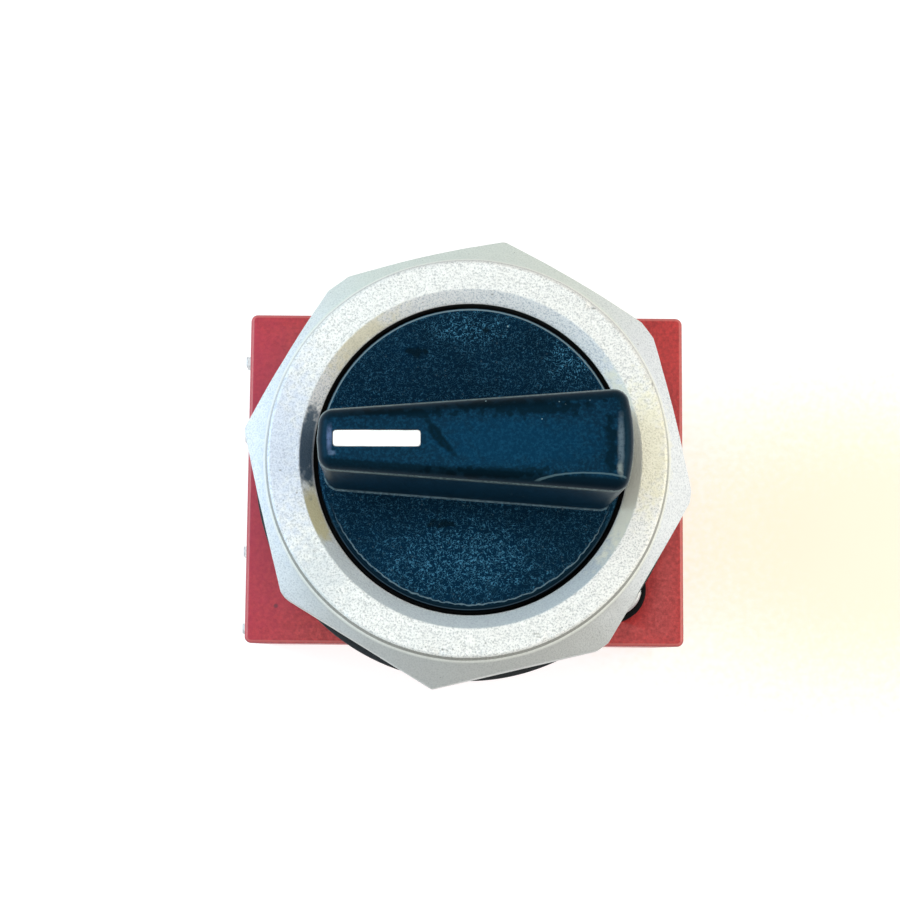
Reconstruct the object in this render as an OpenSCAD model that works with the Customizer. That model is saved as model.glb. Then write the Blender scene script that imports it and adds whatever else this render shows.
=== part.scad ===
// Heavy-duty rotary selector switch, three positions, with its contact block.
// Everything is in millimetres. The part stands on its rear face at z = 0,
// +Z runs along the turning axis towards the front and the pointer looks to -X.

/* [Contact block] */
// Length of the red housing, along X
block_l = 45.2; // [44:0.1:50]
// Width of the red housing, along Y
block_w = 34.6; // [34.2:0.1:40]
// Depth of the red housing, along Z
block_h = 25.0; // [24.5:0.1:32]
// Radius of the housing's upright corners
block_corner_r = 0.7; // [0.4:0.1:2]
// Draft angle of the housing's two long sides
block_draft = 2.2; // [1:0.1:3]
// Thickness of the housing's front wall
front_wall = 3.5; // [3:0.1:5]
// Thickness of the wall between the contact chamber and a terminal pocket
pocket_wall = 1.6; // [1.2:0.1:2.2]
// Thickness of the rear cover
cover_t = 2.4; // [2:0.1:3]
// Distance of a contact pair from the middle of the block
circuit_y = 10.6; // [10.4:0.05:10.8]

/* [Terminals] */
// Distance of a terminal screw from the middle of the block
terminal_x = 18.0; // [17.6:0.1:18.6]
// Free height under a terminal screw head, for the driver
driver_space = 4.4; // [4.2:0.1:5.5]
// Radius of a terminal screw head
terminal_head_r = 3.3; // [2.8:0.1:3.7]
// Height of a terminal screw head
terminal_head_h = 2.4; // [2:0.1:2.8]
// Radius of a terminal screw's thread
terminal_thread_r = 1.75; // [1.5:0.05:2]
// Width of a fixed contact strip
strip_w = 7.0; // [6.4:0.1:7.4]
// Thickness of a fixed contact strip
strip_t = 1.2; // [1:0.1:1.5]
// Thickness of a wire clamp's plate
clamp_t = 1.0; // [0.8:0.1:1.3]
// How far a clamp's side lugs stand out past the housing
lug_reach = 1.8; // [1:0.1:2.5]

/* [Contacts] */
// How far a plunger moves each way from its middle position
stroke = 1.25; // [0.9:0.05:1.3]
// Distance of a contact button from the middle of the bridge
button_x = 8.4; // [8:0.1:9]
// Radius of a contact button
button_r = 1.6; // [1.2:0.1:2]
// Thickness of a contact button
button_t = 0.7; // [0.5:0.05:0.9]
// Width of a moving contact bridge
bridge_w = 5.0; // [4.4:0.1:5.4]
// Thickness of a moving contact bridge
bridge_t = 1.0; // [0.8:0.1:1.2]
// Radius of a follower pin and of a plunger's stem
pin_r = 2.0; // [1.7:0.05:2.1]

/* [Operator body] */
// Height of the operator body from the block to its flange face
body_rise = 7.5; // [7:0.1:9]
// Diameter of the flange behind the panel
flange_d = 40.4; // [39:0.1:41]
// Thickness of the flange
flange_t = 3.0; // [2.4:0.1:3.4]
// Diameter of the barrel under the flange
barrel_d = 34.2; // [33.6:0.1:34.6]
// Diameter of the threaded neck
neck_d = 30.1; // [30:0.05:30.4]
// Thickness of the guide plate under the cam
guide_t = 2.0; // [1.7:0.1:2.2]
// X position of the fixing ear at the pointer's far side
ear_x = 14.9; // [14.8:0.1:15.6]
// Distance of the fixing ears from the X axis
ear_y = 11.7; // [11.4:0.1:12]
// Radius of a fixing ear
ear_r = 3.35; // [3.3:0.05:4]
// Thickness of a fixing ear
ear_t = 3.0; // [2.5:0.1:3.4]
// Radius of a fixing screw's head
fixing_head_r = 2.85; // [2.7:0.05:3.1]
// Height of a fixing screw's head
fixing_head_h = 1.8; // [1.6:0.1:2.4]

/* [Ring nut] */
// Size across the flats of the octagonal ring nut
ring_af = 41.3; // [41:0.1:43]
// Height of the ring nut
ring_h = 7.6; // [7:0.1:9]
// Turn of the ring nut's corners, clockwise from the front
ring_turn = 8.9; // [0:0.1:22]
// Diameter of the raised lip's top edge
lip_d = 38.2; // [37:0.1:38.6]
// Diameter where the front face meets the inner chamfer
face_d = 32.4; // [31.6:0.1:33]
// Diameter of the opening round the knob
opening_d = 29.8; // [29.6:0.1:30]
// Height of the lip's steep edge
lip_h = 1.3; // [1:0.1:1.8]
// Depth of the inner chamfer
chamfer_h = 1.0; // [0.6:0.1:1.4]
// Thickness of the front gasket
gasket_t = 1.0; // [0.8:0.1:1.6]
// Diameter of the front gasket
gasket_d = 42.6; // [41:0.1:44]
// Thickness of the steel slip washer
washer_t = 0.5; // [0.4:0.05:0.8]
// Diameter of the steel slip washer
washer_d = 40.6; // [39:0.1:41]

/* [Knob] */
// Diameter of the knob's disk
disk_d = 29.0; // [28:0.1:29.2]
// Thickness of the knob's disk
disk_t = 1.6; // [1.4:0.1:2]
// How far the disk lies below the ring nut's face
disk_drop = 0.8; // [0.4:0.1:1.2]
// Height of the handle above the disk
handle_h = 13.7; // [11:0.1:17]
// Reach of the handle's pointer end
handle_front = 13.6; // [12.8:0.1:14]
// Reach of the handle's far end, at its top
handle_back = 15.0; // [14:0.1:15.4]
// Half the handle's width over the turning axis
handle_half_w = 3.74; // [3.2:0.02:4.2]
// Angle that each long side of the handle opens towards its far end
handle_flare = 4.2; // [2:0.1:5]
// Radius of the handle's rounded edges
handle_round = 1.4; // [0.8:0.1:1.8]
// Length of the white pointer bar
bar_l = 7.9; // [5:0.1:9]
// Width of the white pointer bar
bar_w = 1.48; // [1:0.02:2]
// Depth of the white pointer bar
bar_t = 0.8; // [0.5:0.1:1.2]

/* [Turning parts] */
// Radius of the shaft's journal
journal_r = 4.0; // [3.9:0.05:4.3]
// Size across the flats of the shaft's square
square_af = 5.6; // [5:0.1:5.6]
// Size across the flats of the octagonal detent wheel
wheel_af = 10.0; // [9.4:0.1:10.2]
// Height of the detent wheel
wheel_h = 2.2; // [1.8:0.1:2.4]
// Radius of the screw that holds the knob
knob_screw_r = 1.5; // [1.25:0.05:1.6]
// Angle of each outer position from the middle one
throw_deg = 45; // [30:5:45]
// Radial clearance of running fits
running_gap = 0.05; // [0.03:0.01:0.08]
// Clearance between parts that stay apart
free_gap = 0.2; // [0.15:0.01:0.25]

/* [Hidden] */
$fn = 96;
hull_fn = 32;
eps = 0.01;

// Levels of the terminals and contacts, from the rear face up
clamp_z = driver_space + terminal_head_h;
strip_z = clamp_z + clamp_t + free_gap;
button_z = strip_z + strip_t;
button_gap = 0.1;
bridge_button_z = button_z + button_t + button_gap + stroke;
bridge_z = bridge_button_z + button_t;
ceiling_z = block_h - front_wall;
frame_top_z = ceiling_z - stroke - free_gap;
window_top_z = frame_top_z - 1.6;
foot_z = bridge_z - 3.4;
spring_seat_z = foot_z + 1.2;
meet_z = block_h - 1.8;

// Moulded details of the operator body
nib_w = 3.2;
nib_reach = 2.4;
neck_wall = 2.4;
stop_rib_h = 3.4;
mouth_step = 0.8;

// Plan sizes of the chambers and pockets
chamber_x = button_x + 3.2;
pocket_x = chamber_x + pocket_wall;
lug_t = 1.1;
clamp_w = strip_w + 2 * (lug_t + free_gap);
pocket_half_w = clamp_w / 2 + free_gap;
lug_y = clamp_w / 2 - lug_t / 2;
lug_recess_w = lug_t + 2 * free_gap;
clamp_back = terminal_x - 4.2;
chamber_half_w = bridge_w / 2 + 2.1;
frame_half_w = chamber_half_w - free_gap - 0.1;
window_half_w = bridge_w / 2 + running_gap * 2;
frame_half_l = 3.6;
cover_half_w = circuit_y + chamber_half_w + 0.2;
cover_screw_x = 8;
cover_screw_r = 1.25;
cover_head_r = 2.6;
cover_head_h = 1.35;
cover_head_z = 0.15;

// Levels of the operator, from the block's front face up
guide_z = block_h + guide_t;
ear_z = block_h + ear_t;
flange_z = block_h + body_rise;
washer_z = flange_z + gasket_t;
ring_z = washer_z + washer_t;
ring_top_z = ring_z + ring_h;
disk_top_z = ring_top_z - disk_drop;
disk_z = disk_top_z - disk_t;
neck_top_z = disk_z - free_gap;
neck_floor_z = neck_top_z - 3.0;
roof_z = neck_floor_z - 2.6;
skirt_z = neck_floor_z + free_gap;
cam_top_z = roof_z - free_gap;
wheel_z = guide_z + free_gap;
cam_hub_z = wheel_z + wheel_h;

// The cam's sloping rim pushes the two followers in turn
cam_r = circuit_y + 2.1;
cam_inner_r = circuit_y - 2.4;
chamber_r = cam_r + 0.4;
slope = stroke / (circuit_y * sin(throw_deg));
follower_gap = 0.25;
follower_head_r = 2.2;
follower_dome_r = 6.0;
dome_h = follower_dome_r - sqrt(pow(follower_dome_r, 2) - pow(follower_head_r, 2));
follower_head_t = 0.5;
follower_top_z = guide_z + stroke + 0.1 + follower_head_t + dome_h;
cam_mid_z = follower_top_z + follower_gap;
stop_r = circuit_y + 0.3;
stop_half_deg = 7;
stop_play_deg = 0.5;
notch_half_deg = throw_deg + stop_half_deg + stop_play_deg;

// The detent's staple of flat steel
staple_t = 0.4;
staple_y = wheel_af / 2 + 1.3;

// Fixing screws, inserts and the hub
fixing_r = 2.0;
fixing_tip = 0.5;
insert_r = 3.0;
insert_l = front_wall - 0.1;
hub_r = 4.6;
knob_hub_r = 3.2;
flat_af = 5.0;
shaft_top_z = skirt_z + 3.4;
insert_z = shaft_top_z + 0.1;
knob_head_r = 3.5;
knob_head_h = 1.7;
knob_insert_r = 2.6;
knob_insert_l = 4.5;
bore_r = journal_r + running_gap;
seal_section_r = 0.7;
seal_z = (neck_floor_z + roof_z) / 2;
handle_top_z = disk_top_z + handle_h;

// How far each corner of the ring nut is worn back, anticlockwise from the corner nearest +X
corner_wear = [0.22, 0.40, 0.03, 0.45, 0.06, 0.14, 0.03, 0.26];

red = [0.70, 0.24, 0.28];
dark_red = [0.55, 0.17, 0.20];
jet = [0.06, 0.07, 0.08];
navy = [0.05, 0.14, 0.20];
cast_silver = [0.86, 0.87, 0.86];
steel = [0.72, 0.73, 0.75];
brass = [0.80, 0.66, 0.35];
fine_silver = [0.90, 0.90, 0.88];
ivory = [0.88, 0.86, 0.80];
white = [0.97, 0.97, 0.95];

// An upright plate with rounded corners, centred on the axis
module rounded_plate(l, w, h, r) {
    steps = 6;
    points = [
        for (corner = [0:3])
        for (i = [0:steps])
        let (
            a = corner * 90 + i * 90 / steps,
            sx = (corner == 0 || corner == 3) ? 1 : -1,
            sy = corner < 2 ? 1 : -1
        )
        [sx * (l / 2 - r) + r * cos(a), sy * (w / 2 - r) + r * sin(a)]
    ];
    linear_extrude(h) polygon(points);
}

// A box centred in X and Y that stands on its lowest face
module standing_box(l, w, h) {
    translate([-l / 2, -w / 2, 0]) cube([l, w, h]);
}

// A driver slot right across a screw head, from its floor up
module driver_slot(w, depth) {
    standing_box(12, w, depth);
}

// A sector of a disc between two radii, about the X axis
module sector(inner, outer, half_deg, h) {
    rotate([0, 0, -half_deg])
    rotate_extrude(angle = 2 * half_deg)
    translate([inner, 0]) square([outer - inner, h]);
}

// A coil spring of round wire that stands on the XY plane, as a swept six-sided wire
module coil_spring(mean_r, wire_r, h, turns) {
    sides = 6;
    per_turn = 16;
    count = turns * per_turn;
    rise = h - 2 * wire_r;
    rings = [
        for (i = [0:count])
        let (a = i * 360 / per_turn, z = wire_r + rise * i / count)
        for (k = [0:sides - 1])
        let (b = k * 360 / sides, r = mean_r + wire_r * cos(b))
        [r * cos(a), r * sin(a), z + wire_r * sin(b)]
    ];
    sleeve = [
        for (i = [0:count - 1])
        for (k = [0:sides - 1])
        let (n = (k + 1) % sides)
        each [
            [i * sides + k, (i + 1) * sides + k, (i + 1) * sides + n],
            [i * sides + k, (i + 1) * sides + n, i * sides + n]
        ]
    ];
    start_cap = [[for (k = [0:sides - 1]) k]];
    end_cap = [[for (k = [0:sides - 1]) count * sides + sides - 1 - k]];
    polyhedron(points = rings, faces = concat(sleeve, start_cap, end_cap));
}

// The places of the two fixing ears
module at_ears() {
    for (side = [1, -1])
    translate([side * ear_x, -side * ear_y, 0])
    children();
}

// The places of the two circuits
module at_circuits() {
    for (side = [1, -1])
    translate([0, side * circuit_y, 0])
    children();
}

// The four terminals, each seen with its open end towards +X
module at_terminals() {
    for (side = [1, -1])
    translate([0, side * circuit_y, 0])
    for (turn = [0, 180])
    rotate([0, 0, turn])
    children();
}

// A plate that hangs from the front edge of the long side at +Y and leans inwards by the draft
module leaning_plate() {
    spare = 3;
    translate([0, block_w / 2, block_h])
    rotate([-block_draft, 0, 0])
    translate([0, -block_w, -block_h - spare])
    rounded_plate(block_l, 2 * block_w, block_h + 2 * spare, block_corner_r);
}

// The housing's outer form, with a draft on both long sides
module block_form() {
    intersection() {
        leaning_plate();
        mirror([0, 1, 0]) leaning_plate();
        standing_box(block_l + 2, block_w + 2, block_h);
    }
}

module contact_housing() {
    recess_top = button_z + 0.4;
    color(red)
    difference() {
        block_form();
        at_circuits() {
            // Contact chamber
            translate([0, 0, -eps])
            standing_box(2 * chamber_x, 2 * chamber_half_w, ceiling_z + eps);
            // Plunger hole through the front wall
            translate([0, 0, ceiling_z - 1])
            cylinder(r = pin_r + running_gap, h = front_wall + 2);
        }
        at_terminals() {
            // Terminal pocket, open at the end and at the rear, on both sides of the strip's seat
            translate([pocket_x, -pocket_half_w, -eps])
            cube([block_l, 2 * pocket_half_w, button_z + eps]);
            for (side = [1, -1])
            translate([pocket_x, side * lug_y - lug_recess_w / 2, button_z - eps])
            cube([block_l, lug_recess_w, recess_top - button_z]);
            // Slot that lets the strip through the wall
            translate([chamber_x - 1, -strip_w / 2 - running_gap, -eps])
            cube([pocket_wall + 2, strip_w + 2 * running_gap, button_z + eps]);
            // Blind hole over the terminal screw's end
            translate([terminal_x, 0, button_z - 1])
            cylinder(r = terminal_thread_r + free_gap, h = 5.5);
        }
        // Rebate for the rear cover
        translate([0, 0, -eps])
        standing_box(2 * (pocket_x + eps), 2 * cover_half_w + free_gap, cover_t + eps);
        // Pilot holes for the cover screws
        for (side = [1, -1])
        translate([side * cover_screw_x, 0, -eps])
        cylinder(r = cover_screw_r + running_gap, h = 12);
        // Seats of the threaded inserts under the fixing ears
        at_ears()
        translate([0, 0, block_h - insert_l])
        cylinder(r = insert_r, h = insert_l + 1);
        // Clearance for the tips of the fixing screws
        at_ears()
        translate([0, 0, block_h - insert_l - 3 * fixing_tip])
        cylinder(r = fixing_r + free_gap, h = 4 * fixing_tip);
    }
}

module rear_cover() {
    tongue_top = strip_z - running_gap;
    color(dark_red)
    difference() {
        union() {
            standing_box(2 * pocket_x - 2 * running_gap, 2 * cover_half_w, cover_t);
            // Posts that centre the return springs
            at_circuits()
            cylinder(r = 1.6, h = cover_t + 2);
            // Tongues that close the housing's slots under the strips
            at_terminals()
            translate([chamber_x + running_gap, -strip_w / 2 + running_gap, 0])
            cube([pocket_wall - 2 * running_gap, strip_w - 2 * running_gap, tongue_top]);
        }
        // Countersunk holes for the cover screws
        for (side = [1, -1])
        translate([side * cover_screw_x, 0, -eps]) {
            cylinder(r = cover_screw_r + 0.25, h = cover_t + 1);
            cylinder(r1 = cover_head_r + 0.3, r2 = cover_screw_r + 0.2, h = cover_head_h + cover_head_z);
        }
    }
}

module cover_screws() {
    color(steel)
    for (side = [1, -1])
    translate([side * cover_screw_x, 0, cover_head_z])
    difference() {
        union() {
            cylinder(r1 = cover_head_r, r2 = cover_screw_r, h = cover_head_h);
            cylinder(r = cover_screw_r, h = 10);
        }
        translate([0, 0, -eps]) driver_slot(0.6, 0.6);
    }
}

// A fixed contact strip with its open end towards +X
module fixed_contact() {
    color(brass)
    difference() {
        translate([button_x - button_r - 0.3, -strip_w / 2, strip_z])
        cube([block_l / 2 - 0.3 - button_x + button_r + 0.3, strip_w, strip_t]);
        translate([terminal_x, 0, strip_z - 1])
        cylinder(r = terminal_thread_r + running_gap, h = strip_t + 2);
        // Narrow waist inside the chamber
        for (side = [1, -1])
        translate([button_x - button_r - 1, side * (bridge_w / 2 + 2) - 2, strip_z - 1])
        cube([button_r * 2 + 2, 4, strip_t + 2]);
    }
}

module fixed_contact_right_a() translate([0, circuit_y, 0]) fixed_contact();
module fixed_contact_left_a() translate([0, circuit_y, 0]) rotate([0, 0, 180]) fixed_contact();
module fixed_contact_right_b() translate([0, -circuit_y, 0]) fixed_contact();
module fixed_contact_left_b() translate([0, -circuit_y, 0]) rotate([0, 0, 180]) fixed_contact();

module fixed_buttons() {
    color(fine_silver)
    at_terminals()
    translate([button_x, 0, button_z])
    cylinder(r = button_r, h = button_t);
}

// Each clamp is a folded plate whose two side lugs straddle the strip
module wire_clamps() {
    plate_front = block_l / 2 - 0.2;
    lug_front = block_l / 2 + lug_reach;
    color(steel)
    at_terminals()
    difference() {
        union() {
            translate([clamp_back, -clamp_w / 2, clamp_z])
            cube([plate_front - clamp_back, clamp_w, clamp_t]);
            for (side = [1, -1])
            translate([clamp_back + 1, side * lug_y - lug_t / 2, clamp_z])
            cube([lug_front - clamp_back - 1, lug_t, clamp_t + free_gap + strip_t]);
        }
        translate([terminal_x, 0, clamp_z - 1])
        cylinder(r = terminal_thread_r + running_gap, h = clamp_t + 2);
    }
}

module terminal_screws() {
    color(steel)
    at_terminals()
    translate([terminal_x, 0, driver_space])
    difference() {
        union() {
            cylinder(r = terminal_head_r, h = terminal_head_h);
            cylinder(r = terminal_thread_r, h = button_z - driver_space + 3.5);
        }
        translate([0, 0, -eps]) driver_slot(0.9, 1.2);
    }
}

// The plunger is a window frame that carries the bridge across the chamber
module plunger() {
    color(ivory)
    difference() {
        union() {
            translate([0, 0, foot_z])
            standing_box(2 * frame_half_l, 2 * frame_half_w, frame_top_z - foot_z);
            cylinder(r = pin_r, h = meet_z);
        }
        translate([0, 0, bridge_z])
        standing_box(2 * frame_half_l + 2, 2 * window_half_w, window_top_z - bridge_z);
        translate([0, 0, -1])
        standing_box(8 * frame_half_l, 4 * frame_half_w, foot_z + 1);
        translate([0, 0, foot_z - 1])
        cylinder(r = 3.1, h = spring_seat_z - foot_z + 1);
    }
}

module bridge() {
    color(brass)
    translate([0, 0, bridge_z])
    standing_box(2 * (button_x + button_r + 0.3), bridge_w, bridge_t);
}

module bridge_buttons() {
    color(fine_silver)
    for (side = [1, -1])
    translate([side * button_x, 0, bridge_button_z])
    cylinder(r = button_r, h = button_t);
}

module contact_spring() {
    color(steel)
    translate([0, 0, bridge_z + bridge_t])
    coil_spring(1.75, 0.22, window_top_z - bridge_z - bridge_t, 5);
}

module return_spring() {
    color(steel)
    translate([0, 0, cover_t + running_gap])
    coil_spring(2.3, 0.26, spring_seat_z - cover_t - 2 * running_gap, 5);
}

// The follower is a pin with a domed head under the cam's rim
module follower() {
    rim_z = follower_top_z - dome_h;
    steps = 6;
    dome_deg = asin(follower_head_r / follower_dome_r);
    color(jet)
    rotate_extrude()
    polygon([
        [0, meet_z],
        [pin_r, meet_z],
        [pin_r, rim_z - follower_head_t],
        [follower_head_r, rim_z - follower_head_t],
        for (i = [steps:-1:1])
        let (a = dome_deg * i / steps)
        [follower_dome_r * sin(a), follower_top_z - follower_dome_r * (1 - cos(a))],
        [0.2, follower_top_z],
        [0, follower_top_z]
    ]);
}

module plunger_a() translate([0, circuit_y, 0]) plunger();
module plunger_b() translate([0, -circuit_y, 0]) plunger();
module bridge_a() translate([0, circuit_y, 0]) bridge();
module bridge_b() translate([0, -circuit_y, 0]) bridge();
module bridge_buttons_a() translate([0, circuit_y, 0]) bridge_buttons();
module bridge_buttons_b() translate([0, -circuit_y, 0]) bridge_buttons();
module contact_spring_a() translate([0, circuit_y, 0]) contact_spring();
module contact_spring_b() translate([0, -circuit_y, 0]) contact_spring();
module return_spring_a() translate([0, circuit_y, 0]) return_spring();
module return_spring_b() translate([0, -circuit_y, 0]) return_spring();
module follower_a() translate([0, circuit_y, 0]) follower();
module follower_b() translate([0, -circuit_y, 0]) follower();

module operator_body() {
    color(jet)
    difference() {
        union() {
            translate([0, 0, block_h]) cylinder(d = barrel_d, h = body_rise);
            translate([0, 0, flange_z - flange_t]) cylinder(d = flange_d, h = flange_t);
            translate([0, 0, block_h]) cylinder(d = neck_d, h = neck_top_z - block_h);
            // Round ears that run into the barrel
            at_ears()
            translate([0, 0, block_h]) cylinder(r = ear_r, h = ear_t);
            // Locating nib on the flange, beside the neck
            translate([-nib_w / 2, neck_d / 2 - 1, flange_z - 0.5])
            cube([nib_w, nib_reach, 0.8 * gasket_t + 0.5]);
        }
        // Cam chamber, with its mouth stepped for the guide plate
        translate([0, 0, block_h - eps]) cylinder(r = chamber_r, h = roof_z - block_h + eps);
        translate([0, 0, block_h - eps]) cylinder(r = chamber_r + mouth_step, h = guide_t + eps);
        // Shaft bore with a groove for the seal
        translate([0, 0, roof_z - 1]) cylinder(r = bore_r, h = neck_floor_z - roof_z + 2);
        translate([0, 0, seal_z - seal_section_r - running_gap])
        cylinder(r = bore_r + 2 * seal_section_r + running_gap, h = 2 * (seal_section_r + running_gap));
        // Round well in the neck for the knob's skirt
        translate([0, 0, neck_floor_z]) cylinder(r = neck_d / 2 - neck_wall, h = 10);
        // Room for the fixing screws' heads, and their holes
        at_ears() {
            translate([0, 0, ear_z]) cylinder(r = fixing_head_r + free_gap, h = body_rise);
            translate([0, 0, block_h - 1]) cylinder(r = fixing_r + free_gap, h = ear_t + 2);
        }
    }
    // Stop rib on the chamber wall, between the two ends of the cam's notch
    color(jet)
    translate([0, 0, roof_z - stop_rib_h])
    sector(stop_r + free_gap, chamber_r + 0.6, stop_half_deg, stop_rib_h + eps);
}

module guide_plate() {
    color(ivory)
    difference() {
        union() {
            translate([0, 0, block_h + running_gap])
            cylinder(r = chamber_r + mouth_step - running_gap, h = guide_t - running_gap * 2);
            // Rib that holds the back of the detent spring
            translate([-2.5, -staple_y - 0.9, guide_z - 0.5])
            cube([5, 1.55, 2.3]);
        }
        translate([0, 0, block_h - 1])
        cylinder(r = knob_head_r + free_gap, h = guide_t + 4);
        at_circuits()
        translate([0, 0, block_h - 1])
        cylinder(r = pin_r + running_gap, h = guide_t + 2);
        translate([-3, -staple_y - staple_t / 2 - running_gap, guide_z])
        cube([6, staple_t + 2 * running_gap, 4]);
    }
}

module body_inserts() {
    color(brass)
    at_ears()
    translate([0, 0, block_h - insert_l])
    difference() {
        cylinder(r = insert_r - 0.01, h = insert_l);
        translate([0, 0, -1]) cylinder(r = fixing_r + 0.02, h = insert_l + 2);
    }
}

module body_screws() {
    color(steel)
    at_ears()
    difference() {
        union() {
            translate([0, 0, ear_z]) cylinder(r = fixing_head_r, h = fixing_head_h);
            translate([0, 0, block_h - insert_l - fixing_tip])
            cylinder(r = fixing_r, h = ear_t + insert_l + 2 * fixing_tip);
        }
        translate([0, 0, ear_z + fixing_head_h - 0.9]) driver_slot(0.9, 2);
    }
}

module mounting_ring() {
    corner_r = ring_af / 2 / cos(22.5);
    thread_r = neck_d / 2 + running_gap;
    lip_foot_r = lip_d / 2 + 0.5;
    corner_drop = 4.0;
    inner_step_z = neck_top_z - ring_z + 0.1;
    color(cast_silver)
    translate([0, 0, ring_z])
    difference() {
        intersection() {
            rotate([0, 0, -ring_turn])
            cylinder(r = corner_r, h = ring_h, $fn = 8);
            rotate_extrude()
            polygon([
                [0, 0],
                [corner_r - 0.5, 0],
                [corner_r + 0.1, 0.45],
                [corner_r + 0.1, ring_h - corner_drop],
                [lip_foot_r, ring_h - lip_h],
                [lip_d / 2 + 0.08, ring_h - 0.12],
                [lip_d / 2 - 0.1, ring_h],
                [0, ring_h]
            ]);
        }
        translate([0, 0, -1]) cylinder(r = opening_d / 2, h = ring_h + 2);
        translate([0, 0, -eps]) cylinder(r = thread_r, h = inner_step_z + eps);
        translate([0, 0, -eps]) cylinder(r1 = thread_r + 0.5, r2 = thread_r, h = 0.5);
        translate([0, 0, ring_h - chamfer_h])
        cylinder(r1 = opening_d / 2, r2 = face_d / 2 + 0.013, h = chamfer_h + eps);
        // Worn corners
        for (i = [0:7])
        rotate([0, 0, i * 45 - ring_turn])
        translate([corner_r - corner_wear[i], -4, -1])
        cube([4, 8, ring_h + 2]);
    }
}

module slip_washer() {
    color(steel)
    translate([0, 0, washer_z])
    difference() {
        cylinder(d = washer_d, h = washer_t);
        translate([0, 0, -1]) cylinder(r = neck_d / 2 + free_gap, h = washer_t + 2);
    }
}

module front_gasket() {
    color(jet)
    translate([0, 0, flange_z])
    difference() {
        cylinder(d = gasket_d, h = gasket_t);
        translate([0, 0, -1]) cylinder(r = neck_d / 2 + free_gap, h = gasket_t + 2);
        translate([-1.8, 0, -1]) cube([3.6, neck_d / 2 + 1.6, gasket_t + 2]);
    }
}

module shaft_seal() {
    color(jet)
    translate([0, 0, seal_z])
    rotate_extrude()
    translate([bore_r + seal_section_r, 0])
    circle(r = seal_section_r, $fn = 24);
}

// Half the handle's width at its rounded top edge, at a distance along it
function handle_half(x) = handle_half_w + x * tan(handle_flare);

module handle() {
    top_z = handle_top_z - handle_round;
    front_x = handle_front - handle_round;
    back_r = handle_back - handle_round;
    back_y = handle_half(back_r * cos(14)) - handle_round;
    back_deg = asin(back_y / back_r);
    draft = handle_h * tan(1);
    foot_back_r = min(back_r, disk_d / 2 - 0.1 - handle_round);
    hull() {
        for (side = [1, -1]) {
            translate([-front_x, side * (handle_half(-front_x) - handle_round), top_z])
            sphere(r = handle_round, $fn = hull_fn);
            translate([-front_x, side * (handle_half(-front_x) - handle_round + draft), disk_z + 0.5])
            cylinder(r = handle_round, h = 0.1, $fn = hull_fn);
        }
        for (i = [-2:2]) {
            rotate([0, 0, i * back_deg / 2])
            translate([back_r, 0, top_z])
            sphere(r = handle_round, $fn = hull_fn);
        }
        for (side = [1, -1])
        translate([foot_back_r - 0.6, side * (back_y + draft), disk_z + 0.5])
        cylinder(r = handle_round, h = 0.1, $fn = hull_fn);
        translate([foot_back_r, 0, disk_z + 0.5])
        cylinder(r = handle_round, h = 0.1, $fn = hull_fn);
    }
}

module bar_place() {
    translate([-(handle_front - 1.4 - bar_l / 2), 0, handle_top_z - bar_t])
    children();
}

module knob() {
    rim = 0.3;
    color(navy)
    difference() {
        union() {
            translate([0, 0, disk_z])
            rotate_extrude()
            polygon([
                [0, 0],
                [disk_d / 2, 0],
                [disk_d / 2, disk_t - rim],
                [disk_d / 2 - rim * 0.3, disk_t - rim * 0.3],
                [disk_d / 2 - rim, disk_t],
                [0, disk_t]
            ]);
            translate([0, 0, skirt_z]) cylinder(r = neck_d / 2 - 2.4 - free_gap, h = disk_z - skirt_z + 0.5);
            handle();
        }
        // Double-flatted socket for the shaft
        translate([0, 0, skirt_z - eps])
        intersection() {
            cylinder(r = knob_hub_r + running_gap, h = shaft_top_z - skirt_z + 0.1);
            standing_box(4 * knob_hub_r, flat_af + 2 * running_gap, shaft_top_z - skirt_z + 0.1);
        }
        // Seat of the threaded insert
        translate([0, 0, insert_z - 0.2]) cylinder(r = knob_insert_r, h = knob_insert_l + 0.2);
        // Slot for the pointer bar
        bar_place() rounded_plate(bar_l, bar_w, bar_t + 1, 0.4);
    }
}

module pointer_bar() {
    color(white)
    bar_place() rounded_plate(bar_l - 0.02, bar_w - 0.02, bar_t - 0.05, 0.4);
}

module knob_insert() {
    color(brass)
    translate([0, 0, insert_z])
    difference() {
        cylinder(r = knob_insert_r - 0.01, h = knob_insert_l);
        translate([0, 0, -1]) cylinder(r = knob_screw_r + 0.02, h = knob_insert_l + 2);
    }
}

module selector_shaft() {
    color(steel)
    difference() {
        union() {
            translate([0, 0, wheel_z + 0.1]) standing_box(square_af, square_af, cam_top_z - wheel_z);
            translate([0, 0, cam_top_z]) cylinder(r = journal_r, h = skirt_z - cam_top_z);
            translate([0, 0, skirt_z - 0.5])
            intersection() {
                cylinder(r = knob_hub_r, h = shaft_top_z - skirt_z + 0.5);
                standing_box(4 * knob_hub_r, flat_af, shaft_top_z - skirt_z + 0.5);
            }
        }
        translate([0, 0, wheel_z - 1]) cylinder(r = knob_screw_r + running_gap, h = shaft_top_z);
    }
}

module knob_screw() {
    color(steel)
    difference() {
        union() {
            translate([0, 0, wheel_z - knob_head_h]) cylinder(r = knob_head_r, h = knob_head_h);
            translate([0, 0, wheel_z - 0.5])
            cylinder(r = knob_screw_r, h = insert_z + knob_insert_l - wheel_z - 0.1);
        }
        translate([0, 0, wheel_z - knob_head_h - eps]) driver_slot(0.8, 0.9);
    }
}

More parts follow.
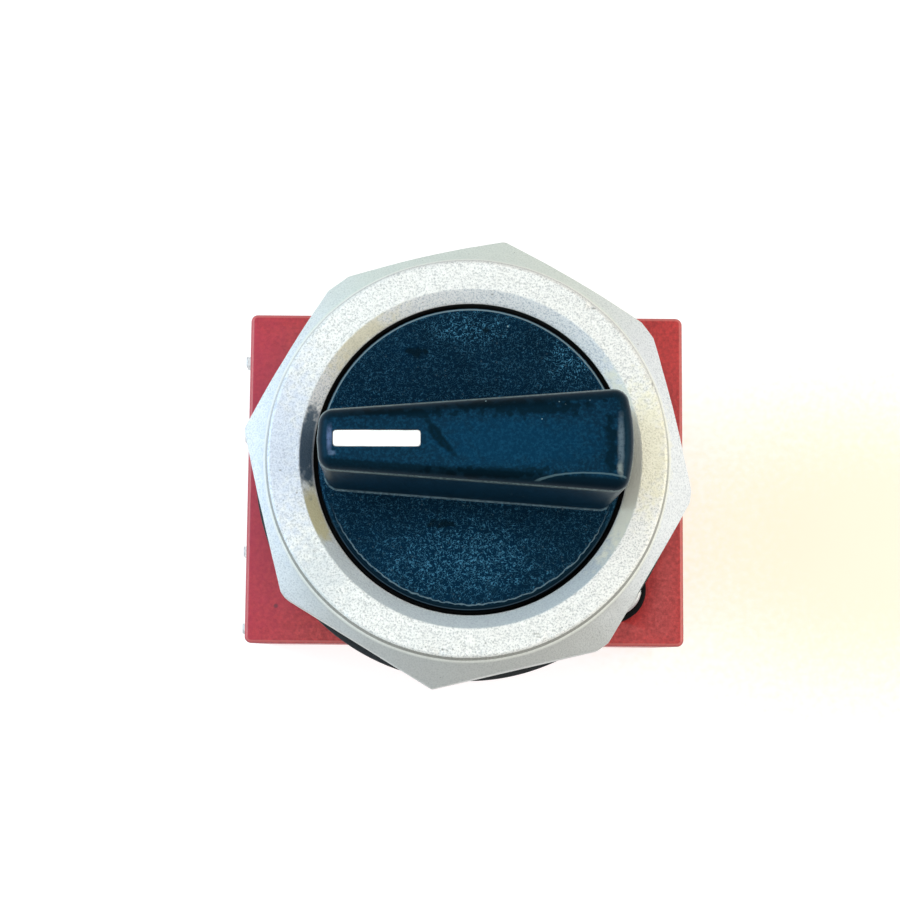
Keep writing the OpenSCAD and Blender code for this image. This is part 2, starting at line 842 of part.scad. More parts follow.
module cam() {
    color(jet)
    difference() {
        union() {
            difference() {
                translate([0, 0, guide_z]) cylinder(r = cam_r, h = cam_top_z - guide_z);
                // The rim's sloping face
                translate([0, 0, cam_mid_z])
                rotate([0, -atan(slope), 0])
                translate([0, 0, -2 * cam_r]) standing_box(6 * cam_r, 6 * cam_r, 2 * cam_r);
                // Well inside the rim for the detent
                translate([0, 0, guide_z - 1]) cylinder(r = cam_inner_r, h = cam_top_z - 1.8 - guide_z + 1);
                // Notch whose ends meet the stop rib
                translate([0, 0, guide_z - 1])
                sector(stop_r, cam_r + 2, notch_half_deg, cam_top_z - guide_z + 2);
            }
            translate([0, 0, cam_hub_z]) cylinder(r = hub_r, h = cam_top_z - cam_hub_z);
        }
        translate([0, 0, cam_hub_z - 1]) standing_box(square_af + 0.02, square_af + 0.02, cam_top_z);
    }
}

module detent_wheel() {
    color(steel)
    translate([0, 0, wheel_z])
    difference() {
        rotate([0, 0, 22.5])
        cylinder(r = wheel_af / 2 / cos(22.5), h = wheel_h, $fn = 8);
        translate([0, 0, -1]) standing_box(square_af + 0.02, square_af + 0.02, wheel_h + 2);
    }
}

// A staple of flat spring steel whose legs lie on two flats of the detent wheel
module detent_spring() {
    leg_x = wheel_af / 2 + 0.08 + staple_t / 2;
    bend_r = 1.4;
    leg_end = 3.8;
    color(steel)
    translate([0, 0, wheel_z + 0.2])
    linear_extrude(wheel_h - 0.4) {
        for (side = [1, -1]) {
            translate([side * leg_x - staple_t / 2, -staple_y + bend_r])
            square([staple_t, staple_y - bend_r + leg_end]);
            // Round bend between a leg and the back
            intersection() {
                translate([side * (leg_x - bend_r), -staple_y + bend_r])
                difference() {
                    circle(r = bend_r + staple_t / 2);
                    circle(r = bend_r - staple_t / 2);
                }
                translate([side > 0 ? leg_x - bend_r : -leg_x - 1, -staple_y - 1])
                square([bend_r + 1, bend_r + 1]);
            }
        }
        translate([-(leg_x - bend_r), -staple_y - staple_t / 2])
        square([2 * (leg_x - bend_r), staple_t]);
    }
}

contact_housing();
rear_cover();
cover_screws();
fixed_contact_left_a();
fixed_contact_right_a();
fixed_contact_left_b();
fixed_contact_right_b();
fixed_buttons();
wire_clamps();
terminal_screws();
plunger_a();
bridge_a();
bridge_buttons_a();
contact_spring_a();
follower_a();
return_spring_a();
plunger_b();
bridge_b();
bridge_buttons_b();
contact_spring_b();
follower_b();
return_spring_b();
operator_body();
guide_plate();
body_inserts();
body_screws();
mounting_ring();
slip_washer();
front_gasket();
shaft_seal();
knob();
pointer_bar();
knob_insert();
selector_shaft();
knob_screw();
cam();
detent_wheel();
detent_spring();
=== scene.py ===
# %% [markdown]
# # A heavy-duty rotary selector switch
# The real object stands on the back of its red contact block and looks up at us.
# A pale octagonal ring nut clamps it to a panel, and a black knob with a white bar turns in the nut.
# The CAD frame gives every piece its place. This lesson adds the round edges, the grain, the dirt and the painted
# light and shade that a photograph shows. No CAD piece is moved: a piece that needs another shape is replaced.

# %% setup
import math

import bmesh
import bpy
from mathutils import Matrix, Vector, noise


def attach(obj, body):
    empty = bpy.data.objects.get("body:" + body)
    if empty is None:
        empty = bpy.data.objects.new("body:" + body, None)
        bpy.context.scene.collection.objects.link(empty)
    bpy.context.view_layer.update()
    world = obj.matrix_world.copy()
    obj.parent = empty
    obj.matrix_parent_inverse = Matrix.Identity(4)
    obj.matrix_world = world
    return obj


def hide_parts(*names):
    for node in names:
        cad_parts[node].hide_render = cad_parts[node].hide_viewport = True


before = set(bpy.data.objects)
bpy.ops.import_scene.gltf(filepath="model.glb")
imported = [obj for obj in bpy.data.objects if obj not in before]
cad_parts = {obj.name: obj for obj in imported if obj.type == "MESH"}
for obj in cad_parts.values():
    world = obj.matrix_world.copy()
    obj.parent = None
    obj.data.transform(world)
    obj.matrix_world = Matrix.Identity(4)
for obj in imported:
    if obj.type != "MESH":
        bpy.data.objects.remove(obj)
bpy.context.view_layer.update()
scene = bpy.context.scene
MM = 0.001
TO_MM = (1 / MM, 1 / MM, 1 / MM)

# %% [markdown]
# ## Turning profiles into meshes
# Most of this switch is turned or moulded round. A lathe needs only a profile of radius and height, so one helper
# rounds the corners of such a profile and others sweep it round the axis. Rounded corners matter more than fine
# meshes: the thin bright lines in the photo are light caught on them.

# %% profile helpers
CORNERS = ((-1, -1), (1, -1), (1, 1), (-1, 1))


def soften(corners, steps=4):
    """Rounds a closed outline of (x, y, cut) corners, where cut is how much of each side the curve takes."""
    points = []
    for i, (x, y, cut) in enumerate(corners):
        here = Vector((x, y))
        if cut == 0:
            points.append(here)
            continue
        start, end = (here + (Vector(corner[:2]) - here).normalized() * cut
                      for corner in (corners[i - 1], corners[(i + 1) % len(corners)]))
        for k in range(steps + 1):
            t = k / steps
            points.append(start * (1 - t) ** 2 + here * 2 * t * (1 - t) + end * t * t)
    return points


def skin(bm, rows, closed=False):
    """Joins rows of points by walls. A closed skin also joins the last row to the first."""
    for row, after in zip(rows, rows[1:] + rows[:1] if closed else rows[1:]):
        for k in range(len(row)):
            m = (k + 1) % len(row)
            bm.faces.new((row[k], after[k], after[m], row[m]))


def sweep(bm, section, steps):
    """Joins the closed outlines section(angle) that stand round the axis."""
    rows = []
    for i in range(steps):
        angle = 2 * math.pi * i / steps
        c, s = math.cos(angle), math.sin(angle)
        rows.append([bm.verts.new((r * c, r * s, z)) for r, z in section(angle)])
    skin(bm, rows, closed=True)


def turn(bm, corners, steps):
    """Sweeps one profile, the same all the way round."""
    outline = soften(corners)
    sweep(bm, lambda angle: outline, steps)


# %% [markdown]
# ## From a drawing to a piece
# Everything is drawn in millimetres and made into an object in metres. A piece is then shaded smooth, with sharp
# edges only where its faces meet at a large angle, and rides on the CAD body that it belongs to.

# %% object helpers
def mesh_of(name, bm):
    mesh = bpy.data.meshes.new(name)
    bm.to_mesh(mesh)
    bm.free()
    return mesh


def add_object(name, data):
    thing = bpy.data.objects.new(name, data)
    scene.collection.objects.link(thing)
    return thing


def add_drawing(name, bm, weld=0.0004):
    """Makes an object of a bmesh drawn in millimetres."""
    bmesh.ops.remove_doubles(bm, verts=bm.verts, dist=weld)
    bmesh.ops.recalc_face_normals(bm, faces=bm.faces)
    bmesh.ops.scale(bm, vec=(MM, MM, MM), verts=bm.verts)
    return add_object(name, mesh_of(name, bm))


def smooth(mesh, crease):
    mesh.shade_smooth()
    mesh.set_sharp_from_angle(angle=math.radians(crease))


def finish_mesh(name, bm, body, crease=40, weld=0.0004):
    """Makes a piece of a drawing and lets it ride on a CAD body."""
    piece = add_drawing(name, bm, weld)
    smooth(piece.data, crease)
    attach(piece, body)
    print(name, "has", len(piece.data.polygons), "faces")
    return piece


def lathe(name, corners, steps):
    bm = bmesh.new()
    turn(bm, corners, steps)
    return finish_mesh(name, bm, "base")


def soft_edges(piece, width_mm):
    """Breaks the sharp edges of a piece with a narrow bevel."""
    bevel = piece.modifiers.new("soft edges", "BEVEL")
    bevel.width, bevel.segments = width_mm * MM, 2
    bevel.limit_method, bevel.angle_limit = "ANGLE", math.radians(50)


# %% [markdown]
# ## Small tools for shader nodes
# Long node code hides what a finish is made of, so each helper adds a node to the tree that was opened last and
# wires its sockets too. Masks are multiplied by times, and ramp makes a mask of a height or a slope.

# %% node helpers
def wire(inputs, sockets):
    """Gives each named input a number, a colour or another node's output."""
    for key, value in sockets.items():
        if isinstance(value, bpy.types.NodeSocket):
            tree.links.new(value, inputs[key])
        else:
            inputs[key].default_value = value


def put(kind, sockets=None, **settings):
    """Adds a shader node to the open tree."""
    node = tree.nodes.new("ShaderNode" + kind)
    for key, value in settings.items():
        setattr(node, key, value)
    wire(node.inputs, sockets or {})
    return node


def calc(operation, a, b=0.0, clamp=False):
    return put("Math", {0: a, 1: b}, operation=operation, use_clamp=clamp).outputs[0]


def times(*masks):
    """Several masks or numbers multiplied."""
    product = masks[0]
    for mask in masks[1:]:
        product = calc("MULTIPLY", product, mask)
    return product


def ramp(value, low, high, out_low=0.0, out_high=1.0):
    """A smooth step of a value between two levels."""
    return put("MapRange", {"Value": value, "From Min": low, "From Max": high, "To Min": out_low, "To Max": out_high},
               interpolation_type="SMOOTHSTEP").outputs["Result"]


def blend(factor, a, b, mode="MIX"):
    return put("Mix", data_type="RGBA", blend_type=mode, sockets={0: factor, 6: a, 7: b}).outputs[2]


def vector(operation, a, b=(0.0, 0.0, 0.0)):
    return put("VectorMath", {0: a, 1: b}, operation=operation).outputs


def split(of_three):
    return put("SeparateXYZ", {"Vector": of_three}).outputs


def cloud(place, scale, detail, **others):
    """Noise that varies about nothing."""
    texture = put("TexNoise", {"Vector": place, "Scale": scale, "Detail": detail, **others})
    return calc("SUBTRACT", texture.outputs["Fac"], 0.5)


# %% [markdown]
# ## Groups
# An effect that several finishes share is built once as a node group with named sockets, and a reader can find it
# again by its name in the shader editor. Every group takes a place, which is the object's own coordinates.

# %% group helpers
def open_group(name, inputs, outputs):
    """Opens a new node group. Its inputs are given as name: default."""
    global tree
    tree = bpy.data.node_groups.new(name, "ShaderNodeTree")
    for title, default in {"Place": (0.0, 0.0, 0.0), **inputs}.items():
        kind = "NodeSocketFloat" if isinstance(default, float) else "NodeSocketVector"
        tree.interface.new_socket(name=title, in_out="INPUT", socket_type=kind).default_value = default
    for title in outputs:
        tree.interface.new_socket(name=title, in_out="OUTPUT", socket_type="NodeSocketFloat")
    print("group:", name)
    return tree, tree.nodes.new("NodeGroupInput").outputs, tree.nodes.new("NodeGroupOutput").inputs


def effect(group, place, **sockets):
    """Puts a node group into the open tree. Names are written with _ for a space."""
    node = put("Group", node_tree=group)
    wire(node.inputs, {"Place": place, **{key.replace("_", " "): value for key, value in sockets.items()}})
    return node.outputs


# %% [markdown]
# ## Grain
# Cast metal and moulded plastic both show a fine grain, the print of a blasted mould or die. Noise does it well,
# as long as its size is given in millimetres on the object. The same group serves all finishes with other numbers.

# %% grain group
grain, given, out = open_group("grain", {"Size mm": 0.3, "Contrast": 1.0}, ["Value"])
per_metre = calc("DIVIDE", 1 / MM, given["Size mm"])
scaled = times(cloud(given["Place"], per_metre, 3.0, Roughness=0.62), given["Contrast"])
wire(out, {"Value": calc("ADD", scaled, 0.5, clamp=True)})


def grainy(place, size_mm, contrast):
    return effect(grain, place, Size_mm=size_mm, Contrast=contrast)["Value"]


# %% [markdown]
# ## Sandy ridges
# The knob's disk came out of a mould with a coarser etched texture. Close up it looks like short worms of light.
# Folding noise about its middle value gives such ridges: where the noise crosses the middle, a ridge stands.

# %% sandy group
sandy, given, out = open_group("sandy ridges", {"Size mm": 0.4}, ["Height", "Crest"])
per_metre = calc("DIVIDE", 1 / MM, given["Size mm"])
fold = calc("ABSOLUTE", cloud(given["Place"], per_metre, 0.0, Distortion=0.5))
ridge = ramp(fold, 0.0, 0.09, 1.0, 0.0)
patch = cloud(given["Place"], times(per_metre, 0.55), 1.0)
# Crest marks the ridge tops, which the knob's finish paints as highlights.
wire(out, {"Height": ridge, "Crest": times(ridge, ramp(patch, -0.14, 0.0))})

# %% [markdown]
# ## Specks
# Dust and lint sit on the plastic as separate light dots. Cells of a Voronoi texture give one dot each, and the
# cell's random colour decides whether it shows and how large it is.

# %% specks group
specks, given, out = open_group("specks", {"Spacing mm": 1.5, "Radius": 0.12, "Share": 0.3}, ["Mask"])
per_metre = calc("DIVIDE", 1 / MM, given["Spacing mm"])
cell = put("TexVoronoi", {"Vector": given["Place"], "Scale": per_metre, "Randomness": 1.0}).outputs
chance = put("SeparateColor", {"Color": cell["Color"]}).outputs
shown = calc("LESS_THAN", chance["Red"], given["Share"])
dot_radius = times(given["Radius"], calc("ADD", chance["Green"], 0.35))
dot = ramp(calc("DIVIDE", cell["Distance"], dot_radius), 0.55, 1.0, 1.0, 0.0)
wire(out, {"Mask": times(dot, shown)})

# %% [markdown]
# ## A soft spot
# Some marks belong to one place only: a smudge, a stain, a patch that the light catches. A spot is an ellipsoid
# with a soft rim, placed in the object's own millimetres, so it stays with the piece when the knob turns. A higher
# squareness fills out its corners, and the second output draws only the line round it.

# %% spot group
spot, given, out = open_group("spot", {"Centre mm": (0.0, 0.0, 0.0), "Reach mm": (1.0, 1.0, 1.0), "Softness": 0.5,
                                       "Raggedness": 0.3, "Squareness": 2.0, "Line width": 0.1}, ["Mask", "Line"])
in_mm = vector("MULTIPLY", given["Place"], TO_MM)[0]
relative = vector("DIVIDE", vector("SUBTRACT", in_mm, given["Centre mm"])[0], given["Reach mm"])[0]
sizes = split(vector("ABSOLUTE", relative)[0])
total = 0.0
for axis in "XYZ":
    total = calc("ADD", total, calc("POWER", sizes[axis], given["Squareness"]))
distance = calc("POWER", total, calc("DIVIDE", 1.0, given["Squareness"]))
reach = calc("ADD", distance, times(cloud(in_mm, 1.3, 3.0), given["Raggedness"], 4.0))
off_line = calc("DIVIDE", calc("ABSOLUTE", calc("SUBTRACT", reach, 1.0)), given["Line width"])
wire(out, {"Mask": ramp(reach, calc("SUBTRACT", 1.0, given["Softness"]), 1.0, 1.0, 0.0),
           "Line": ramp(off_line, 0.4, 1.0, 1.0, 0.0)})


# %% [markdown]
# ## Several spots at once
# Stains, marks and painted light and shade come as centres and reaches in millimetres, read off the photo. One helper
# puts a single spot, and the other joins a table of spots into one mask.

# %% table of spots
def mark(place, centre, reach, softness, ragged=0.3, square=2.0):
    return effect(spot, place, Centre_mm=centre, Reach_mm=reach, Softness=softness, Raggedness=ragged,
                  Squareness=square)["Mask"]


def marks(place, table, *settings):
    """The strongest of several spots, given as rows of centre and reach."""
    mask = 0.0
    for centre, reach in table:
        mask = calc("MAXIMUM", mask, mark(place, centre, reach, *settings))
    return mask


# %% [markdown]
# ## Polar place
# Round pieces wear and shade by radius. This group gives the radius and the height in millimetres, so a finish
# can treat a chamfer, a rim or a side wall in its own way without any painted map. The photo shows the bore and the
# disk in it a little off the octagon's centre, so their finishes measure from their own axis.

# %% polar group
BORE_X, BORE_GROWTH = 0.31, 0.2
polar, given, out = open_group("polar place", {}, ["Radius mm", "Height mm"])
parts = split(given["Place"])
flat = put("CombineXYZ", {"X": parts["X"], "Y": parts["Y"]}).outputs[0]
wire(out, {"Radius mm": times(vector("LENGTH", flat)["Value"], 1 / MM), "Height mm": times(parts["Z"], 1 / MM)})


def around(place, centre_x=0.0):
    """The radius and the height about an upright axis, in millimetres."""
    found = effect(polar, vector("SUBTRACT", place, (centre_x * MM, 0.0, 0.0))[0])
    return found["Radius mm"], found["Height mm"]


def bore_radius(angle, radius):
    """A radius of the bore or the disk as seen from the middle of the octagon."""
    return radius + BORE_GROWTH + BORE_X * math.cos(angle)


# %% [markdown]
# ## Opening a material
# Every finish starts alike: a material, its shader and the object's own coordinates, which stay with a piece when a
# joint moves it. Colours are easier to judge on a screen, so they are given as 0 to 255 and made linear here. A
# finish is then a first colour with layers over it, and each layer is a mask and a tone.

# %% material helpers
def open_material(name):
    """Opens a material and gives it back with its shader's inputs and its place."""
    global tree
    material = bpy.data.materials.new(name)
    material.use_nodes = True
    tree = material.node_tree
    return material, tree.nodes["Principled BSDF"].inputs, put("TexCoord").outputs["Object"]


def slope_of(place):
    return split(place.node.outputs["Normal"])


def bump(height, depth_mm):
    return put("Bump", {"Height": height, "Strength": 1.0, "Distance": depth_mm * MM}).outputs["Normal"]


def rgb(red, green, blue):
    """A colour as read from a picture, 0 to 255, turned into the linear values that a shader needs."""
    def linear(value):
        value = value / 255
        return value / 12.92 if value <= 0.04045 else ((value + 0.055) / 1.055) ** 2.4
    return (linear(red), linear(green), linear(blue), 1.0)


def layers(colour, rows):
    """Lays tones over a colour, each where its mask shows."""
    for mask, tone in rows:
        colour = blend(mask, colour, rgb(*tone) if isinstance(tone, tuple) else tone)
    return colour


# %% [markdown]
# ## The ring nut's metal
# The nut is a die casting, blasted to a pale satin. Its face is nearly white under soft light, and only a sparkling
# grain of darker dips tells that it isn't paint. Half of its shine is that of a metal and half is scattered, because
# the blasting leaves the surface rough. The shoulder's colour is cooler, with painted shade where it faces the near
# side and painted light where it faces away.

# %% ring nut material
ring_metal, shader, place = open_material("cast_ring")
radius, height = around(place)
axes, slope = split(place), slope_of(place)
fine, coarse = grainy(place, 0.17, 3.0), grainy(place, 0.8, 1.6)
sparkle = ramp(fine, -0.15, 0.75)
on_shoulder = times(ramp(slope["Z"], 0.92, 0.85), ramp(radius, 19.5, 19.6))
colour = layers(blend(sparkle, rgb(188, 190, 190), rgb(255, 255, 252)), [
    (times(coarse, 0.3), (222, 224, 222)),
    (times(on_shoulder, 0.45), (222, 232, 244)),
    # Painted shade where the shoulder faces the near side, painted light where it faces away.
    (times(on_shoulder, ramp(slope["Y"], -0.3, -0.65), 0.6), (182, 182, 174)),
    (times(on_shoulder, ramp(slope["Y"], 0.35, 0.65), 0.5), (226, 236, 218))])
print("material:", ring_metal.name)

# %% [markdown]
# ## Tones of the face, the lip and the chamfer
# The face gets painted light: a bluish cast at its left, a greyer one low at the left and a beige one at the right.
# The inner chamfer gets painted reflections, pale at the far side and bluish grey at the near side, yellowish at the
# left and nearly white at the right, with painted shade beside the pointer. The lip ends in a step, whose upper half
# is a thin painted shade line and whose lower half a painted highlight. Each row holds a centre, a reach, a softness,
# a share and a tone.

# %% ring nut tones
RING_TOP, CHAMFER = 41.6, 41.2
# Painted light on the face, then painted reflections and painted shade on the chamfer.
LIGHT_ON_FACE = (((-19.0, 1.0), (8.0, 15.0), 0.9, 0.5, (198, 211, 238)),
           ((-14.5, -11.5), (5.0, 5.0), 0.9, 0.4, (200, 208, 212)),
           ((17.2, 0.8), (3.4, 8.5), 0.7, 0.5, (248, 243, 204)))
REFLECTIONS_ON_CHAMFER = (((15.6, -1.5), (5.2, 14.0), 0.6, 0.9, (255, 252, 234)),
              ((-14.4, -5.4), (2.6, 4.2), 0.7, 0.8, (200, 190, 140)),
              ((-10.2, 11.2), (5.6, 6.4), 0.8, 0.6, (240, 230, 188)),
              ((-15.5, 1.1), (3.2, 4.7), 0.5, 0.92, (40, 74, 98)))


def toned(table, z, *masks):
    return [(times(*masks, mark(place, (*centre, z), (*reach, 3.0), softness), share), tone)
            for centre, reach, softness, share, tone in table]


step = times(ramp(slope["Z"], 0.62, 0.48), ramp(radius, 18.9, 19.0), ramp(radius, 19.8, 19.7))
bore = around(place, BORE_X)[0]
on_chamfer = times(ramp(bore, 16.5, 16.3), ramp(height, 40.5, 40.8))
# Painted reflection on the chamfer: pale at the far side, bluish grey at the near side.
chamfer_reflection = blend(ramp(axes["Y"], -0.01, 0.004), rgb(192, 204, 210), rgb(255, 255, 255))
chamfer_reflection = blend(sparkle, rgb(186, 196, 206), chamfer_reflection)
colour = layers(colour, [
    *toned(LIGHT_ON_FACE, RING_TOP),
    (times(on_chamfer, 0.75), chamfer_reflection),
    *toned(REFLECTIONS_ON_CHAMFER, CHAMFER, on_chamfer),
    # A painted shade line on the step's upper half, darker where it faces the near side, and a painted highlight
    # under it.
    (times(step, ramp(height, 40.7, 40.9), ramp(slope["Y"], -0.5, 0.5, 0.75, 0.3)), (112, 114, 102)),
    (times(step, ramp(height, 40.9, 40.7), 0.6), (246, 248, 240))])
print("nodes so far:", len(tree.nodes))

# %% [markdown]
# ## Dirt and painted shadows on the ring nut
# A few marks are clear in the photo: a grey smudge and a row of dots near the bottom of the face, two short dashes
# beside them, strokes at the left and nicks in the lip. Small dots inside soft spots give the dirt, and thin spots
# give painted shadows in the dashes and the nicks. The bore behind the face is painted near black as painted shade,
# as no light reaches its thread.

# %% ring nut dirt
dots = effect(specks, place, Spacing_mm=0.34, Radius=0.36, Share=0.55)["Mask"]
few = effect(specks, place, Spacing_mm=0.9, Radius=0.09, Share=0.2)["Mask"]
dirty = marks(place, [((1.4, -17.9, 41.6), (1.9, 0.7, 1.0)), ((-2.1, -18.3, 41.6), (2.9, 0.35, 1.0)),
                      ((-17.6, -4.9, 41.6), (0.7, 0.9, 1.0)), ((-16.0, -3.5, 41.6), (0.7, 0.9, 1.0))], 0.6)
# Shadows painted into the nicks and dashes, each a centre and two reaches in millimetres.
NICK_SHADOWS = ((6.5, -16.9, 41.6, 0.55, 0.09), (6.8, -17.2, 41.6, 0.4, 0.08), (12.2, 14.5, 41.5, 0.34, 0.16),
         (17.8, 7.1, 41.5, 0.14, 0.3), (16.6, 11.3, 40.4, 0.2, 0.16), (2.4, 15.9, 41.5, 0.22, 0.12),
         (-17.9, -1.35, 41.6, 0.16, 0.1))
thin = marks(place, [(nick[:3], (*nick[3:], 1.0)) for nick in NICK_SHADOWS], 0.7, 0.2)
dirt_and_nick_shadow = calc("MAXIMUM", calc("MAXIMUM", few, times(dots, dirty)), thin)
# The bore is painted near black as painted shade.
bore_shade = times(ramp(bore, 15.5, 15.4), ramp(height, 40.62, 40.5))
open_air = calc("SUBTRACT", 1.0, bore_shade)
wire(shader, {
    "Base Color": layers(colour, [(times(dirt_and_nick_shadow, 0.55), (104, 104, 96)), (bore_shade, (4, 4, 5))]),
    "Metallic": times(calc("SUBTRACT", 0.5, times(on_chamfer, 0.35)), open_air),
    "Roughness": calc("MAXIMUM", ramp(fine, 0.2, 0.9, 0.58, 0.42), bore_shade),
    "Normal": bump(calc("ADD", fine, times(coarse, 0.6)), 0.022)})
print("nodes in the ring nut's finish:", len(tree.nodes))

# %% [markdown]
# ## The knob's disk
# The knob is one black moulding that looks navy, because it mirrors a bluish room, and that navy is a painted
# reflection in its colour. The disk has a sandy etch whose crests get painted highlights, worms of light that show
# more in some painted light patches than in others. Round the disk runs a rounded rim with painted light and shade:
# a thin painted highlight at the far side, and at the near side a painted shade band with a wavy painted highlight
# inside it.

# %% knob disk
knob_plastic, shader, place = open_material("knob_moulding")
radius, height = around(place, BORE_X)
axes = split(place)
on_disk = ramp(height, 41.05, 40.9)
etched = times(on_disk, ramp(radius, 14.2, 14.1))
etch = effect(sandy, place, Size_mm=0.21)
patches = grainy(place, 5.0, 1.8)
# Painted light patches where the etch catches more light.
near_light_patch = mark(place, (-0.6, -9.8, 40.8), (12.0, 6.0, 2.0), 0.8)
far_light_patches = marks(place, [((0.2, 12.6, 40.8), (6.5, 3.0, 2.0)), ((10.0, 9.6, 40.8), (4.0, 3.6, 2.0))], 0.9)
light_patches = calc("MAXIMUM", calc("MAXIMUM", near_light_patch, far_light_patches), 0.3)
blotch = marks(place, [((-4.8, 10.3, 40.8), (1.1, 0.6, 1.0)), ((1.7, 12.5, 40.8), (0.5, 0.3, 1.0)),
                       ((-2.4, -6.4, 40.8), (1.6, 0.5, 1.0))], 0.6, 0.6)
near_side, far_side = ramp(axes["Y"], -0.004, -0.009), ramp(axes["Y"], -0.002, 0.003)
# The navy is a painted reflection of the bluish room, and the etch's crests get painted highlights.
disk_colour = layers(blend(patches, rgb(0, 12, 27), rgb(1, 28, 49)), [
    (times(near_light_patch, 0.5), (1, 39, 66)),
    (times(etch["Crest"], light_patches, 0.85), (84, 150, 184)),
    (times(blotch, 0.9), (0, 4, 8)),
    # A painted shade band along the rim's near side.
    (times(near_side, ramp(radius, 14.16, 14.24)), (5, 14, 22))])
# Painted highlight lines on the rim: a wavy one and a grey one at the near side, a light one at the far side.
wavy = calc("ADD", radius, times(cloud(place, 1600.0, 1.0), 0.4))
for measured, at, half, side, tone in ((wavy, 14.1, 0.07, near_side, (108, 130, 140)),
                                       (radius, 14.58, 0.05, near_side, (56, 72, 84)),
                                       (radius, 14.5, 0.09, far_side, (120, 140, 148))):
    off_line = calc("ABSOLUTE", calc("SUBTRACT", measured, at))
    line = times(ramp(off_line, half * 0.5, half * 1.2, 1.0, 0.0), side, 0.85)
    disk_colour = blend(line, disk_colour, rgb(*tone))
# Below the rim the disk's side is painted near black, as painted shade.
below_rim = times(ramp(radius, 14.58, 14.66), ramp(height, 40.7, 40.5))
disk_colour = blend(below_rim, disk_colour, rgb(3, 5, 7))
print("material:", knob_plastic.name)

# %% [markdown]
# ## The knob's handle
# The handle is smoother than the disk. Its rounded edges get a grey painted highlight line, which is found by the
# slope of the surface, and the round between the line and the flat top gets painted shade. Spots add what is
# particular to this knob: a painted bluish reflection along the top, painted highlight stripes at both ends, a
# painted highlight arc over a lens of painted shade, wavy patches, a dull streak and lint along the edges.

# %% knob handle
slope = slope_of(place)
up, back = slope["Z"], slope["Y"]
near_top = ramp(height, 52.6, 53.0)
fine = grainy(place, 0.26, 2.0)
slanted = put("VectorRotate", {"Vector": place, "Center": (-2.6 * MM, 0.05 * MM, 0.0), "Angle": math.radians(51)},
              rotation_type="Z_AXIS").outputs[0]
STREAK = [((-2.6, 0.05, 54.5), (2.7, 0.62, 1.0))]
BANDS = [((4.4, 2.9, 54.5), (8.6, 1.0, 1.0)), ((2.2, -3.1, 54.5), (7.4, 0.7, 1.0)),
         ((-5.5, 2.3, 54.5), (5.4, 0.5, 1.0)), ((12.9, -0.4, 54.5), (0.8, 3.0, 1.0))]
lens = effect(spot, place, Centre_mm=(10.6, -4.4, 54.3), Reach_mm=(5.0, 1.3, 2.0), Softness=0.35, Raggedness=0.02,
              Line_width=0.08)
# The navy base is a painted reflection of the bluish room, and a painted bluish reflection lies along the top.
handle_colour = layers(blend(patches, rgb(4, 20, 33), rgb(7, 34, 54)), [
    (times(mark(place, (4.6, -0.4, 54.5), (11.0, 3.3, 2.0), 0.7), 0.85), (2, 42, 68)),
    (times(ramp(fine, 0.3, 0.9), 0.35), (24, 78, 108)),
    # Painted shade on the round between the edge line and the flat top.
    (times(near_top, ramp(up, 0.985, 0.93), 0.8), (5, 20, 28)),
    (times(marks(slanted, STREAK, 0.55, 0.3), ramp(fine, 0.2, 0.6, 0.7, 1.0)), (0, 5, 9)),
    (times(marks(place, BANDS, 0.55, 0.7), ramp(fine, 0.2, 0.6, 0.7, 1.0), 0.9), (0, 5, 9)),
    # The lens gets painted shade.
    (times(lens["Mask"], near_top, 0.8), (4, 15, 24))])
print("dark places on the handle:", len(STREAK + BANDS))

# %% [markdown]
# ## Painted edge highlights and lint
# The light marks come last, over the dark ones. The grey line is a painted highlight, wider at the back of the
# handle, where the photo shows three pixels of it, and thinner at the front. The stripes at the ends are painted
# highlights, spots with filled corners, and a painted highlight runs along the foot of the handle.

# %% knob light marks
# Painted highlight stripes on the end rounds, each a centre, a reach and a tone.
END_HIGHLIGHTS = (((13.7, -0.3), (0.42, 3.4), (92, 108, 118)), ((13.6, -2.7), (0.38, 0.9), (132, 142, 140)),
           ((-12.5, 0.0), (0.34, 1.6), (92, 108, 142)), ((-12.3, -1.35), (0.5, 0.3), (84, 104, 130)))
widest = calc("ADD", 0.38, times(calc("MAXIMUM", back, 0.0), 0.2))
edge_highlight = times(ramp(up, 0.03, 0.14), ramp(calc("SUBTRACT", up, widest), -0.08, 0.06, 1.0, 0.0), near_top,
               ramp(fine, 0.2, 0.7, 0.3, 1.0), 0.9)
handle_colour = layers(handle_colour, [
    # Painted highlight on the rounded edges.
    (edge_highlight, (104, 122, 122)),
    # The arc over the lens is a painted highlight line.
    (times(lens["Line"], near_top, ramp(up, 0.6, 0.8), 0.7), (84, 108, 116)),
    *((times(mark(place, (*centre, 54.2), (*reach, 2.0), 0.8, 0.15, 3.0), ramp(fine, 0.1, 0.6, 0.5, 0.95)), tone)
      for centre, reach, tone in END_HIGHLIGHTS)])
